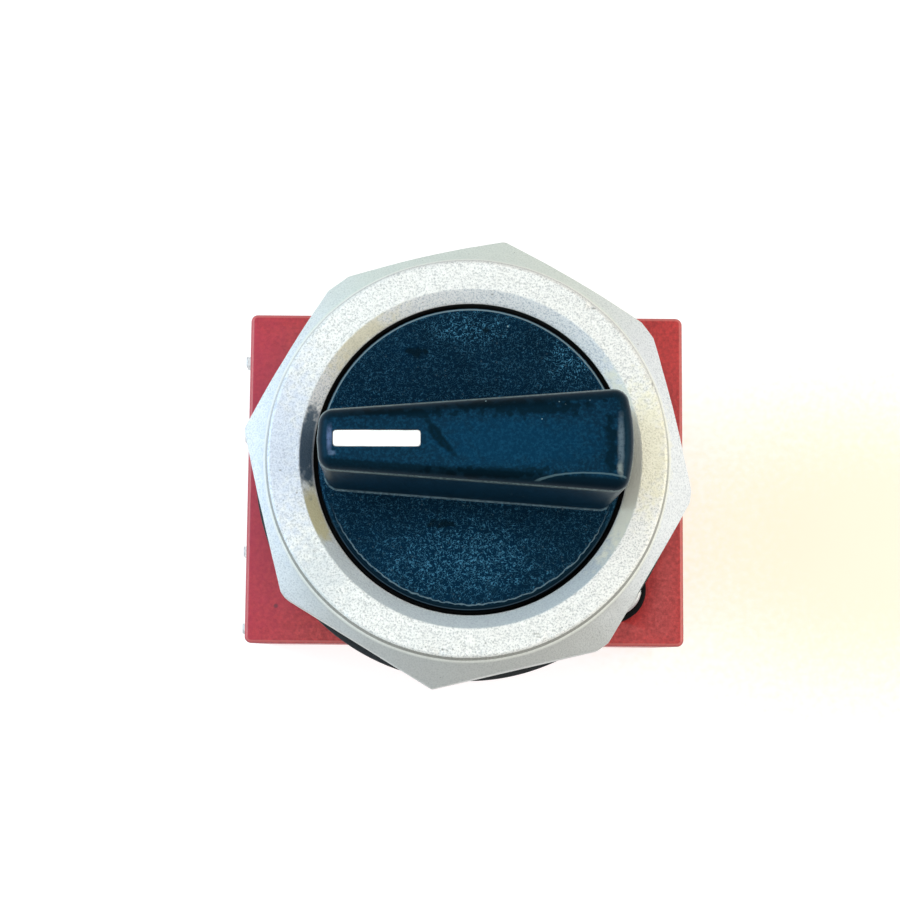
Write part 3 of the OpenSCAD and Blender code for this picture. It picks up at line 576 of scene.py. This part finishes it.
# A painted highlight along the foot of the handle.
foot_highlight = times(ramp(height, 41.12, 41.02), ramp(height, 40.81, 40.84), ramp(fine, 0.2, 0.7, 0.4, 1.0))
lint = effect(specks, place, Spacing_mm=1.3, Radius=0.075, Share=0.14)["Mask"]
dust = effect(specks, place, Spacing_mm=0.45, Radius=0.2, Share=0.5)["Mask"]
dusty = calc("MAXIMUM", mark(place, (4.0, 3.5, 54.4), (9.0, 0.5, 1.0), 0.6),
             times(ramp(height, 41.0, 40.85), ramp(height, 40.79, 40.83)))
lint = calc("MAXIMUM", lint, times(dust, dusty))
wire(shader, {
    "Base Color": layers(blend(on_disk, handle_colour, disk_colour), [
        (times(foot_highlight, 0.8), (112, 136, 146)), (times(lint, 0.7), (150, 178, 186))]),
    "Roughness": blend(etched, (0.36, 0.36, 0.36, 1), (0.5, 0.5, 0.5, 1)),
    "Specular IOR Level": 0.22, "Specular Tint": (0.1, 0.5, 0.9, 1.0),
    "Normal": bump(calc("ADD", times(etch["Height"], etched), times(fine, 0.2)), 0.035)})
print("nodes in the knob's finish:", len(tree.nodes))

# %% [markdown]
# ## The red housing's plastic
# The contact block is a glossy thermoset moulding, brick red at the right and more crimson at the left. A small
# mottle and a fine bump break the reflection up. The rounded front edge gets a painted highlight line with a
# painted shade line outside it, and the slope of the surface tells the two apart.

# %% red plastic material
red_plastic, shader, place = open_material("red_moulding")
mottle, cloudy = grainy(place, 0.35, 2.2), grainy(place, 5.0, 2.0)
up = slope_of(place)["Z"]
at_front = ramp(around(place)[1], 24.3, 24.5)
colour = layers(blend(mottle, rgb(148, 24, 29), rgb(214, 58, 58)), [
    (times(cloudy, 0.3), (210, 64, 66)),
    (times(mark(place, (-26.0, 0.0, 20.0), (16.0, 40.0, 30.0), 0.8, 0.1), 0.75), (186, 30, 70)),
    (times(mark(place, (-19.5, -13.3, 25.0), (0.3, 0.3, 0.5), 0.6, 0.1), 0.8), (104, 34, 52)),
    # Painted highlight and painted shade on the rounded front edge.
    (times(at_front, ramp(up, 0.99, 0.94), ramp(up, 0.6, 0.75), 0.45), (224, 140, 134)),
    (times(at_front, ramp(up, 0.5, 0.3), 0.6), (92, 34, 34))])
wire(shader, {"Base Color": colour, "Roughness": ramp(mottle, 0.2, 0.8, 0.42, 0.32), "Normal": bump(mottle, 0.01)})
print("material:", red_plastic.name)


# %% [markdown]
# ## The other finishes
# Rubber, nylon, plated steel, brass and silver differ in a few numbers only: two colours that the grain mixes, the
# grain's size, how metallic and how rough it is, and how deep the bump goes. A table keeps them comparable.

# %% table of finishes
def plain_finish(name, dark, light, size_mm, metallic, rough, depth_mm):
    material, shader, place = open_material(name)
    value = grainy(place, size_mm, 1.5)
    wire(shader, {"Base Color": blend(value, rgb(*dark), rgb(*light)), "Metallic": metallic,
                  "Roughness": ramp(value, 0.2, 0.8, rough[1], rough[0]), "Normal": bump(value, depth_mm)})
    return material


FINISHES = {
    "dark_red_moulding": ((126, 40, 44), (144, 50, 54), 0.4, 0.0, (0.4, 0.5), 0.006),
    "black_casting": ((3, 4, 6), (10, 12, 15), 0.3, 0.0, (0.5, 0.65), 0.01),
    "black_rubber": ((12, 18, 23), (26, 33, 38), 0.25, 0.0, (0.6, 0.75), 0.008),
    "black_nylon": ((18, 19, 21), (30, 31, 34), 0.5, 0.0, (0.4, 0.5), 0.004),
    "ivory_nylon": ((208, 200, 182), (224, 217, 200), 0.6, 0.0, (0.4, 0.5), 0.004),
    "plated_steel": ((176, 178, 180), (208, 210, 212), 0.25, 1.0, (0.28, 0.42), 0.003),
    "spring_steel": ((150, 152, 156), (182, 184, 188), 0.2, 1.0, (0.3, 0.45), 0.002),
    "brass_strip": ((190, 158, 92), (214, 184, 116), 0.4, 1.0, (0.3, 0.45), 0.003),
    "contact_silver": ((214, 214, 210), (232, 232, 228), 0.3, 1.0, (0.3, 0.4), 0.002),
    "white_bar": ((246, 246, 244), (255, 255, 252), 0.3, 0.0, (0.4, 0.5), 0.004),
}
finishes = {name: plain_finish(name, *row) for name, row in FINISHES.items()}
# The white bar glows faintly, a painted light that keeps it at full white.
for name, special in (("white_bar", {"Emission Color": (1.0, 1.0, 1.0, 1.0), "Emission Strength": 0.25}),
                      ("black_casting", {"Specular IOR Level": 0.1})):
    wire(finishes[name].node_tree.nodes["Principled BSDF"].inputs, special)
finishes.update(cast_ring=ring_metal, knob_moulding=knob_plastic, red_moulding=red_plastic)
print("finishes:", len(finishes))

# %% [markdown]
# ## The ring nut
# Seen from the front the nut is an octagon with a raised round lip, so its section changes with the angle: the
# cone of the shoulder runs out to a flat or to a corner. A sweep whose section asks for the octagon's radius at
# every angle gives this in one smooth grid. Worn corners are extra planes that cut in front of the sharp ones, and
# a soft minimum of all planes rounds the edges between them. The flats were ground by hand, so each has its own
# small twist in degrees and its own distance from the axis, as measured on the photo.

# %% ring nut outline
FLAT = 41.3 / 2
TURN = math.radians(-8.9)
WEAR = (22.04, 22.01, 22.19, 21.69, 21.9, 22.05, 22.27, 22.26)
FLATS = ((-0.3, 20.62), (0.3, 20.7), (-0.3, 20.5), (0.8, 20.35), (-0.2, 20.45), (-0.1, 20.56), (-0.5, 20.7),
         (0.9, 20.7))
planes = []
for i, (worn_to, (twist, reach)) in enumerate(zip(WEAR, FLATS)):
    corner = TURN + i * math.pi / 4
    planes += [(corner, worn_to), (corner + math.pi / 8 + math.radians(twist), reach)]


def ring_radius(angle, sharpness=2600):
    total = sum(max(0.0, math.cos(angle - a) * FLAT / d) ** sharpness for a, d in planes)
    return FLAT * total ** (-1 / sharpness)


print("across flats mm:", round(2 * ring_radius(TURN + math.pi / 8), 2))

# %% [markdown]
# ## The ring nut's section and its nicks
# The section runs up the bore, over the chamfer, the flat face and the lip, down the sloping shoulder and back along
# the foot. Extra rows on the face and the shoulder keep a nick small: without them its dent would spread to the next
# corner of the section. Each nick is an angle, a radius, a size and a depth.

# %% ring nut section
LIP, SHOULDER, DROP, FOOT = 19.0, 19.6, 1.3, 34.0
CONE_SLOPE = (4.0 - DROP) / (22.45 - SHOULDER)
DENTS = ((51.0, 19.05, 0.55, 0.16), (24.5, 19.1, 0.5, 0.12), (81.5, 16.1, 0.45, 0.12), (97.5, 16.05, 0.3, 0.08),
         (-66.0, 19.1, 0.6, 0.1), (-128.0, 19.1, 0.5, 0.1), (203.0, 19.1, 0.6, 0.1), (9.5, 19.2, 0.35, 0.08),
         (-98.0, 19.0, 0.5, 0.1), (138.0, 19.1, 0.5, 0.08))


def ring_section(angle):
    edge = ring_radius(angle)
    edge_z = RING_TOP - DROP - (edge - SHOULDER) * CONE_SLOPE
    foot_z = FOOT + max(0.0, edge - 21.85) * 0.75
    mouth, inner = bore_radius(angle, 14.9), bore_radius(angle, 16.2)
    face = [(inner + (LIP - inner) * k / 12, RING_TOP, 0) for k in range(1, 12)]
    cone = [(SHOULDER + (edge - SHOULDER) * k / 8, RING_TOP - DROP + (edge_z - RING_TOP + DROP) * k / 8, 0)
            for k in range(2, 8)]
    return soften([
        (15.1, FOOT, 0.05), (15.1, 39.1, 0), (mouth, 39.1, 0), (mouth, RING_TOP - 1.0, 0.1),
        (inner, RING_TOP, 0.1), *face, (LIP, RING_TOP, 0.1), (19.18, RING_TOP - 0.12, 0.1),
        (SHOULDER, RING_TOP - DROP, 0.35), *cone, (edge, edge_z, 0.14), (edge, foot_z, 0.06),
        (min(21.4, edge - 0.2), FOOT, 0.06)])


bm = bmesh.new()
sweep(bm, ring_section, 960)
for vert in bm.verts:
    x, y, z = vert.co
    radius = math.hypot(x, y)
    if z > 35 and radius > 14.95:
        vert.co *= 1 + 0.0009 * noise.noise(vert.co * 0.45)
    for at, r, size, depth in DENTS:
        dent = Vector((r * math.cos(math.radians(at)), r * math.sin(math.radians(at)), RING_TOP - 0.1))
        near = 1 - (vert.co - dent).length / size
        if near > 0:
            vert.co.z -= depth * near
            vert.co.xy *= 1 - 0.3 * depth * near / radius
nut = finish_mesh("ring_nut", bm, "base", crease=60)
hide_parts("mounting_ring")
nut.data.materials.append(ring_metal)

# %% [markdown]
# ## The knob
# Disk, skirt and handle are one moulding. The disk is a lathe. The handle is an outline that grows by a degree of
# draft on its way down, so it is a loft of rounded outlines: a curve over the top edge, a straight wall, and a small
# fillet where it meets the disk. The top keeps a real slot for the white bar.

# %% handle outlines
DISK_TOP, HANDLE_TOP, HANDLE_END = 40.8, 54.5, 13.6
ROUND, FILLET = 1.4, 0.28


def handle_core(level):
    """Corner points that the rounding rolls round. level is 0 at the top and 1 at the disk."""
    draft = 0.24 * level
    front = -(HANDLE_END - ROUND)
    front_y = 3.74 + front * math.tan(math.radians(4.2)) - ROUND + draft
    back_r = HANDLE_END - 0.5 * level
    spread = math.asin((3.31 + draft) / back_r)
    back = [(back_r * math.cos(spread * k / 4), back_r * math.sin(spread * k / 4)) for k in range(-4, 5)]
    return [(front, front_y), (front - 0.12, 0.0), (front, -front_y)] + back


def grown(core, radius, steps=10):
    """The outline at a distance round a convex row of points, anticlockwise."""
    points = []
    for i, (x, y) in enumerate(core):
        before, after = core[i - 1], core[(i + 1) % len(core)]
        start = math.atan2(y - before[1], x - before[0]) - math.pi / 2
        end = math.atan2(after[1] - y, after[0] - x) - math.pi / 2
        while end < start:
            end += 2 * math.pi
        for k in range(steps + 1):
            a = start + (end - start) * k / steps
            points.append((x + radius * math.cos(a), y + radius * math.sin(a)))
    return points


levels = []
for k in range(9):
    a = math.radians(90 * k / 8)
    levels.append((0.0, ROUND * math.sin(a), HANDLE_TOP - ROUND * (1 - math.cos(a))))
for k in range(1, 7):
    levels.append((k / 6, ROUND, HANDLE_TOP - ROUND - (HANDLE_TOP - ROUND - DISK_TOP - FILLET) * (k / 6)))
for k in range(1, 5):
    a = math.radians(90 * k / 4)
    levels.append((1.0, ROUND + FILLET * (1 - math.cos(a)), DISK_TOP + FILLET * (1 - math.sin(a)) - 0.002))
print("handle rows:", len(levels))

# %% [markdown]
# ## The knob's mesh
# The rows of outlines are joined to walls, the disk and the skirt are swept round the axis, and the top is filled
# between the outermost row and the slot. The foot is kept inside the disk, so the two never cross.

# %% knob mesh
FOOT_LIMIT = 14.3
BAR_X, BAR_L, BAR_W = -8.25, 7.9, 1.48


def disk_outline(angle):
    edge = bore_radius(angle, 14.5)
    return soften([(0.0, 39.2, 0), (edge, 39.2, 0.1), (edge, DISK_TOP, 0.42), (edge - 0.48, DISK_TOP, 0.05),
                   (edge - 0.52, DISK_TOP - 0.05, 0.03), (edge - 0.57, DISK_TOP, 0.05), (0.0, DISK_TOP, 0)])


def bar_rectangle(growth, cut, steps):
    return soften([(BAR_X + sx * (BAR_L / 2 + growth), sy * (BAR_W / 2 + growth), cut) for sx, sy in CORNERS], steps)


bm = bmesh.new()
sweep(bm, disk_outline, 288)
turn(bm, [(4.0, 36.2, 0), (12.45, 36.2, 0.2), (12.45, 39.3, 0), (4.0, 39.3, 0)], 144)
rows = []
for level, rounding, z in levels:
    rows.append([])
    for x, y in grown(handle_core(level), rounding):
        shrink = min(1, FOOT_LIMIT / math.hypot(x, y)) if level == 1.0 else 1
        rows[-1].append(bm.verts.new((x * shrink, y * shrink, z)))
skin(bm, rows)
slot = [[bm.verts.new((p.x, p.y, z)) for p in bar_rectangle(0.04, 0.4, 5)] for z in (HANDLE_TOP, HANDLE_TOP - 0.8)]
skin(bm, slot)
bm.faces.new(slot[1])
bmesh.ops.remove_doubles(bm, verts=bm.verts, dist=0.0001)
rim = [edge for edge in bm.edges if edge.is_boundary and all(v.co.z > HANDLE_TOP - 0.001 for v in edge.verts)]
bmesh.ops.triangle_fill(bm, use_beauty=True, use_dissolve=False, edges=rim)
print("edges round the handle's top:", len(rim))
knob = finish_mesh("knob_moulding", bm, "selector", crease=45, weld=0.0001)
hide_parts("knob")
knob.data.materials.append(knob_plastic)

# %% [markdown]
# ## The white bar
# The bar is pressed into the slot by hand, and its edge is a little wavy. A rounded outline with a small wobble,
# drawn at four heights, gives the soft top edge.

# %% pointer bar
def bar_outline(shrink):
    """The bar's outline, pulled in by shrink, with extra points along its long sides."""
    outline = bar_rectangle(-shrink, 0.32, 6)
    dense = []
    for p, q in zip(outline, outline[1:] + outline[:1]):
        parts = 24 if (q - p).length > 3 else 1
        dense += [p.lerp(q, k / parts) for k in range(parts)]
    return dense


bm = bmesh.new()
rows = [[bm.verts.new((p.x, p.y + 0.03 * noise.noise(Vector((p.x * 0.8, p.y, 3.0))), z)) for p in bar_outline(shrink)]
        for shrink, z in ((0.0, 53.75), (0.0, 54.38), (0.04, 54.44), (0.12, 54.46))]
skin(bm, rows)
bm.faces.new(rows[-1])
bm.faces.new(list(reversed(rows[0])))
bar = finish_mesh("pointer_bar_moulding", bm, "selector", crease=50)
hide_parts("pointer_bar")
bar.data.materials.append(finishes["white_bar"])

# %% [markdown]
# ## Gasket and slip washer
# Under the nut lie a thin steel washer and a rubber gasket that peeps out past the flats. Both are plain rings, so
# the lathe makes them. The rubber's top edge is rounded more, because that edge draws the grey line in the photo, and
# the gasket sits a little nearer the front, as it peeps out more there.

# %% gasket and washer
GASKET_SHIFT = Vector((0.0, -0.15, 0.0)) * MM
gasket = lathe("gasket_ring", [(15.45, 32.5, 0.1), (21.0, 32.5, 0.15), (21.0, 33.5, 0.3), (15.45, 33.5, 0.1)], 256)
gasket.data.transform(Matrix.Translation(GASKET_SHIFT))
washer = lathe("slip_ring", [(15.25, 33.5, 0.05), (20.3, 33.5, 0.05), (20.3, 34.0, 0.08), (15.25, 34.0, 0.05)],
               256)
for piece, node, finish in ((gasket, "front_gasket", "black_rubber"), (washer, "slip_washer", "plated_steel")):
    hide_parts(node)
    piece.data.materials.append(finishes[finish])


# %% [markdown]
# ## Cutting and joining round solids
# The operator's body has two round ears with counterbores, and every screw has a driver slot. Those forms are
# easiest as solids that are joined and cut by Boolean modifiers. The helpers draw a solid, apply the modifier and
# throw the solid away.

# %% solid helpers
def round_solid(radius, low, high, x, y, rounding=0.0):
    bm = bmesh.new()
    turn(bm, [(0.0, low, 0), (radius, low, rounding), (radius, high, rounding), (0.0, high, 0)], 96)
    bmesh.ops.translate(bm, vec=(x, y, 0), verts=bm.verts)
    return bm


def box_solid(length, width, height, middle):
    """A box on the axis, with its middle at a height."""
    bm = bmesh.new()
    low, high = [[bm.verts.new((sx * length / 2, sy * width / 2, middle + sz * height / 2)) for sx, sy in CORNERS]
                 for sz in (-1, 1)]
    bm.faces.new(list(reversed(low)))
    bm.faces.new(high)
    skin(bm, [low, high])
    return bm


def apply_boolean(target, bm, operation):
    """Joins a solid to the target or cuts it away."""
    cutter = add_drawing("cutter", bm)
    modifier = target.modifiers.new("cut", "BOOLEAN")
    modifier.operation, modifier.object, modifier.solver = operation, cutter, "EXACT"
    graph = bpy.context.evaluated_depsgraph_get()
    result = bpy.data.meshes.new_from_object(target.evaluated_get(graph))
    target.modifiers.clear()
    old, target.data = target.data, result
    bpy.data.meshes.remove(old)
    bpy.data.objects.remove(cutter)
    smooth(result, 35)


# %% [markdown]
# ## The operator's body
# The black casting under the nut shows only as two screwed ears at the corners from the front, but from the side
# its barrel and flange are seen. The lathe turns the hollow body, then the ears are joined and their counterbores
# cut up through the flange.

# %% operator body
EARS = ((14.9, -11.7), (-14.9, 11.7))
body = lathe("operator_casting", [
    (4.05, 36.0, 0), (12.65, 36.0, 0.1), (12.65, 39.0, 0.15), (15.05, 39.0, 0.3), (15.05, 32.5, 0),
    (20.2, 32.5, 0.3), (20.2, 29.5, 0.4), (17.1, 29.5, 0.3), (17.1, 25.0, 0), (13.9, 25.0, 0), (13.9, 27.0, 0),
    (13.1, 27.0, 0), (13.1, 33.4, 0), (4.05, 33.4, 0)], 224)
for x, y in EARS:
    apply_boolean(body, round_solid(3.35, 25.0, 28.0, x, y, rounding=0.25), "UNION")
for x, y in EARS:
    apply_boolean(body, round_solid(3.05, 28.0, 36.0, x, y), "DIFFERENCE")
    apply_boolean(body, round_solid(2.2, 24.0, 29.0, x, y), "DIFFERENCE")
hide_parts("operator_body")
body.data.materials.append(finishes["black_casting"])
print("operator body faces:", len(body.data.polygons))


# %% [markdown]
# ## Screws
# Three kinds of slotted screw hold the switch together: cheese heads in the ears, the terminal screws and the
# countersunk screws of the rear cover. One helper turns a screw, cuts its slot and copies it to the given places.

# %% screws
def screws(name, node, profile, slot, places):
    first = lathe(name, profile, 96)
    apply_boolean(first, box_solid(*slot), "DIFFERENCE")
    bm = bmesh.new()
    for x, y in places:
        before = len(bm.verts)
        bm.from_mesh(first.data)
        bm.verts.ensure_lookup_table()
        bmesh.ops.translate(bm, vec=(x * MM, y * MM, 0), verts=bm.verts[before:])
    bm.to_mesh(first.data)
    bm.free()
    smooth(first.data, 35)
    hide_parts(node)
    first.data.materials.clear()
    first.data.materials.append(finishes["plated_steel"])


screws("ear_screws", "body_screws",
       [(0.0, 21.1, 0), (2.0, 21.1, 0.3), (2.0, 28.0, 0), (2.75, 28.0, 0.1), (2.75, 29.8, 0.35), (0.0, 29.8, 0)],
       (8.0, 0.9, 1.8, 29.8), EARS)
screws("clamp_screws", "terminal_screws",
       [(0.0, 4.4, 0), (3.3, 4.4, 0.35), (3.3, 6.8, 0.1), (1.75, 6.8, 0), (1.75, 12.65, 0.2), (0.0, 12.65, 0)],
       (8.0, 0.9, 2.4, 4.4), [(sx * 18.0, sy * 10.6) for sx in (1, -1) for sy in (1, -1)])
screws("rear_screws", "cover_screws",
       [(0.0, 0.15, 0), (2.6, 0.15, 0.08), (1.25, 1.5, 0), (1.25, 10.15, 0.2), (0.0, 10.15, 0)],
       (6.0, 0.6, 1.2, 0.15), [(8.0, 0.0), (-8.0, 0.0)])

# %% [markdown]
# ## The red housing
# The CAD gives the housing its chambers, pockets and draft, so a copy of that mesh is the base. What the photo adds
# is the soft front edge, nearly half a millimetre round, which draws a light line along the block. Only the outer
# front rim is rounded here, and a narrow bevel is enough for all other edges. In the photo the block's outside is
# turned by a third of a degree and a shade smaller, so the outer walls alone are fitted to that.

# %% red housing
BLOCK_TOP, RIM_ROUND = 25.0, 0.42
BLOCK_SCALE, BLOCK_TURN, BLOCK_SHIFT = (0.996, 0.9897, 1.0), math.radians(-0.38), (-0.07, -0.14, 0.0)
bm = bmesh.new()
bm.from_mesh(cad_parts["contact_housing"].data)
bmesh.ops.remove_doubles(bm, verts=bm.verts, dist=0.000001)
bmesh.ops.dissolve_limit(bm, angle_limit=math.radians(0.5), verts=bm.verts, edges=bm.edges)
front_rim = [edge for edge in bm.edges
             if all(v.co.z > (BLOCK_TOP - 0.01) * MM for v in edge.verts)
             and all(abs(v.co.x) > 21.8 * MM or abs(v.co.y) > 16.5 * MM for v in edge.verts)
             and edge.calc_face_angle(0.0) > math.radians(60)]
bmesh.ops.bevel(bm, geom=front_rim, offset=RIM_ROUND * MM, segments=4, profile=0.5, affect="EDGES",
                clamp_overlap=False)
bmesh.ops.scale(bm, vec=TO_MM, verts=bm.verts)
outside = [v for v in bm.verts if abs(v.co.x) > 21.5 or abs(v.co.y) > 16.2]
bmesh.ops.scale(bm, vec=BLOCK_SCALE, verts=outside)
bmesh.ops.rotate(bm, cent=(0, 0, 0), matrix=Matrix.Rotation(BLOCK_TURN, 3, "Z"), verts=outside)
bmesh.ops.translate(bm, vec=BLOCK_SHIFT, verts=outside)
print("edges round the housing's front:", len(front_rim))
housing = finish_mesh("red_housing", bm, "base", crease=35)
soft_edges(housing, 0.12)
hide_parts("contact_housing")
housing.data.materials.append(red_plastic)

# %% [markdown]
# ## The wire clamps
# Four folded clamps stand out of the block's ends. In the photo their corners show past its left edge but not past
# the right one. A copy of the CAD mesh draws the right-hand pair a third of a millimetre further in, so that it
# stays behind the edge, and the bevel breaks the edges of the folded sheet.

# %% wire clamps
CLAMP_SHIFT = (-0.35, 0.0, 0.0)
bm = bmesh.new()
bm.from_mesh(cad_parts["wire_clamps"].data)
bmesh.ops.scale(bm, vec=TO_MM, verts=bm.verts)
bmesh.ops.translate(bm, vec=CLAMP_SHIFT, verts=[v for v in bm.verts if v.co.x > 0])
clamps = finish_mesh("folded_clamps", bm, "base", crease=30)
soft_edges(clamps, 0.1)
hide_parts("wire_clamps")
clamps.data.materials.append(finishes["plated_steel"])

# %% [markdown]
# ## The pieces that the CAD already shows well
# The rear cover and everything inside keep their CAD meshes. They take a material each, and a narrow bevel breaks
# their edges, as no moulding or punching has a perfectly sharp one. The second table is for both contact chambers.

# %% CAD pieces
KEEP = {
    "rear_cover": ("dark_red_moulding", 0.12), "fixed_buttons": ("contact_silver", 0.05),
    "guide_plate": ("ivory_nylon", 0.06), "body_inserts": ("brass_strip", 0.05), "shaft_seal": ("black_rubber", 0),
    "knob_insert": ("brass_strip", 0.05), "selector_shaft": ("plated_steel", 0.06), "cam": ("black_nylon", 0.08),
    "knob_screw": ("plated_steel", 0.05), "detent_wheel": ("plated_steel", 0.06),
    "detent_spring": ("spring_steel", 0.03),
}
IN_BOTH = {
    "fixed_contact_left": ("brass_strip", 0.06), "fixed_contact_right": ("brass_strip", 0.06),
    "plunger": ("ivory_nylon", 0.08), "bridge": ("brass_strip", 0.06), "bridge_buttons": ("contact_silver", 0.05),
    "contact_spring": ("spring_steel", 0), "return_spring": ("spring_steel", 0), "follower": ("black_nylon", 0),
}
KEEP.update({f"{name}_{chamber}": row for name, row in IN_BOTH.items() for chamber in "ab"})
for node, (finish, width) in KEEP.items():
    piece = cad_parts[node]
    piece.data.materials.clear()
    piece.data.materials.append(finishes[finish])
    if width:
        soft_edges(piece, width)
print("CAD pieces dressed:", len(KEEP))

# %% [markdown]
# ## The floor
# The switch lies on white paper with a warm, cloudy stain of light at the right and a fainter one at the left. The
# paper glows a little, so it stays white without burning out the object. Far to the near side and the far side it
# falls off into the room, which the sloping shoulder of the nut mirrors as a darker tone.

# %% floor
HALF_FLOOR = 2
bm = bmesh.new()
bm.faces.new([bm.verts.new((HALF_FLOOR * sx, HALF_FLOOR * sy, 0.0)) for sx, sy in CORNERS])
floor = add_object("floor", mesh_of("floor", bm))
floor.location.z = -0.0002
paper, shader, place = open_material("white_paper")
near = mark(place, (0.0, 0.0, 0.0), (400.0, 90.0, 40.0), 0.3, 0.0)
glow = blend(near, (0.35, 0.35, 0.35, 1), (1.0, 1.0, 1.0, 1))
for centre, reach, share in (((46.5, -4.5, 0.0), (41.0, 30.0, 40.0), 1.0),
                             ((-37.0, -2.0, 0.0), (15.0, 12.0, 40.0), 0.4)):
    stain = mark(place, centre, reach, 0.8, 0.12)
    glow = blend(times(stain, share), glow, (0.82, 0.735, 0.48, 1))
wire(shader, {"Base Color": blend(grainy(place, 8.0, 0.4), (0.44, 0.44, 0.44, 1), (0.5, 0.5, 0.5, 1)),
              "Emission Color": glow, "Emission Strength": 0.72})
floor.data.materials.append(paper)
print("floor stands", round(-floor.location.z / MM, 1), "mm under the part")

# %% [markdown]
# ## The room
# Broad soft light comes from a world whose colour and level depend on the direction: bluish and bright low at the
# left, neutral at the right, and duller towards the near and far walls. Straight up it is evenly white.

# %% world
world = bpy.data.worlds.new("soft studio")
scene.world = world
world.use_nodes = True
tree = world.node_tree
direction = split(put("TexCoord").outputs["Generated"])
tint = blend(ramp(direction["X"], -0.85, -0.1), (0.76, 0.95, 1.08, 1), (1.02, 0.99, 0.93, 1))
walls = ramp(direction["Y"], -0.6, 0.6, 0.2, 0.68)
sides = ramp(calc("ABSOLUTE", direction["X"]), 0.3, 0.85)
low_level = calc("ADD", walls, times(sides, 0.6))
level = blend(ramp(direction["Z"], 0.05, 0.7), low_level, (1.0, 1.0, 1.0, 1))
wire(tree.nodes["Background"].inputs, {"Color": blend(1.0, tint, level, "MULTIPLY"), "Strength": 0.72})
print("world nodes:", len(tree.nodes))


# %% [markdown]
# ## Area lights
# Four panels close to the switch add the change across its face: a cool window at the left, a warm wall at the
# right, a wide panel overhead, and a cool one behind the left shoulder that whitens the block's far left corner.

# %% area lights
def soft_light(name, place_mm, aim_mm, size_mm, power, colour):
    data = bpy.data.lights.new(name, "AREA")
    data.shape, data.size, data.energy, data.color = "SQUARE", size_mm * MM, power, colour
    lamp = add_object(name, data)
    lamp.location = Vector(place_mm) * MM
    lamp.rotation_euler = (Vector(aim_mm) - Vector(place_mm)).to_track_quat("-Z", "Y").to_euler()
    lamp.visible_camera = False


soft_light("cool window", (-130, 20, 130), (0, 0, 40), 90, 0.1, (0.66, 0.87, 1.0))
soft_light("warm wall", (130, -10, 120), (0, 0, 40), 90, 0.06, (1.0, 0.96, 0.84))
soft_light("overhead", (0, -20, 420), (0, 0, 30), 160, 0.16, (1.0, 1.0, 0.98))
soft_light("far left panel", (-60, 95, 400), (-10, 5, 30), 90, 0.05, (0.80, 0.93, 1.0))
print("lights:", len(bpy.data.lights))

# %% [markdown]
# ## Camera
# The photo looks down the turning axis, tipped seven and a half degrees towards the near side, from a quarter of a
# metre above the paper. Place, tilt and a lens of 86 mm were fitted to the corners and circles that it shows.

# %% camera
data = bpy.data.cameras.new("view")
data.lens, data.sensor_width, data.clip_start = 85.7, 36.0, 0.01
camera = add_object("view", data)
tilt, roll = math.radians(7.63), math.radians(0.14)
camera.location = Vector((-1.66, -26.6, 245.0)) * MM
camera.rotation_euler = (Matrix.Rotation(tilt, 3, "X") @ Matrix.Rotation(roll, 3, "Z")).to_euler()
scene.camera = camera
scene.view_settings.view_transform = "Standard"
print("camera height mm:", round(camera.location.z / MM, 1))
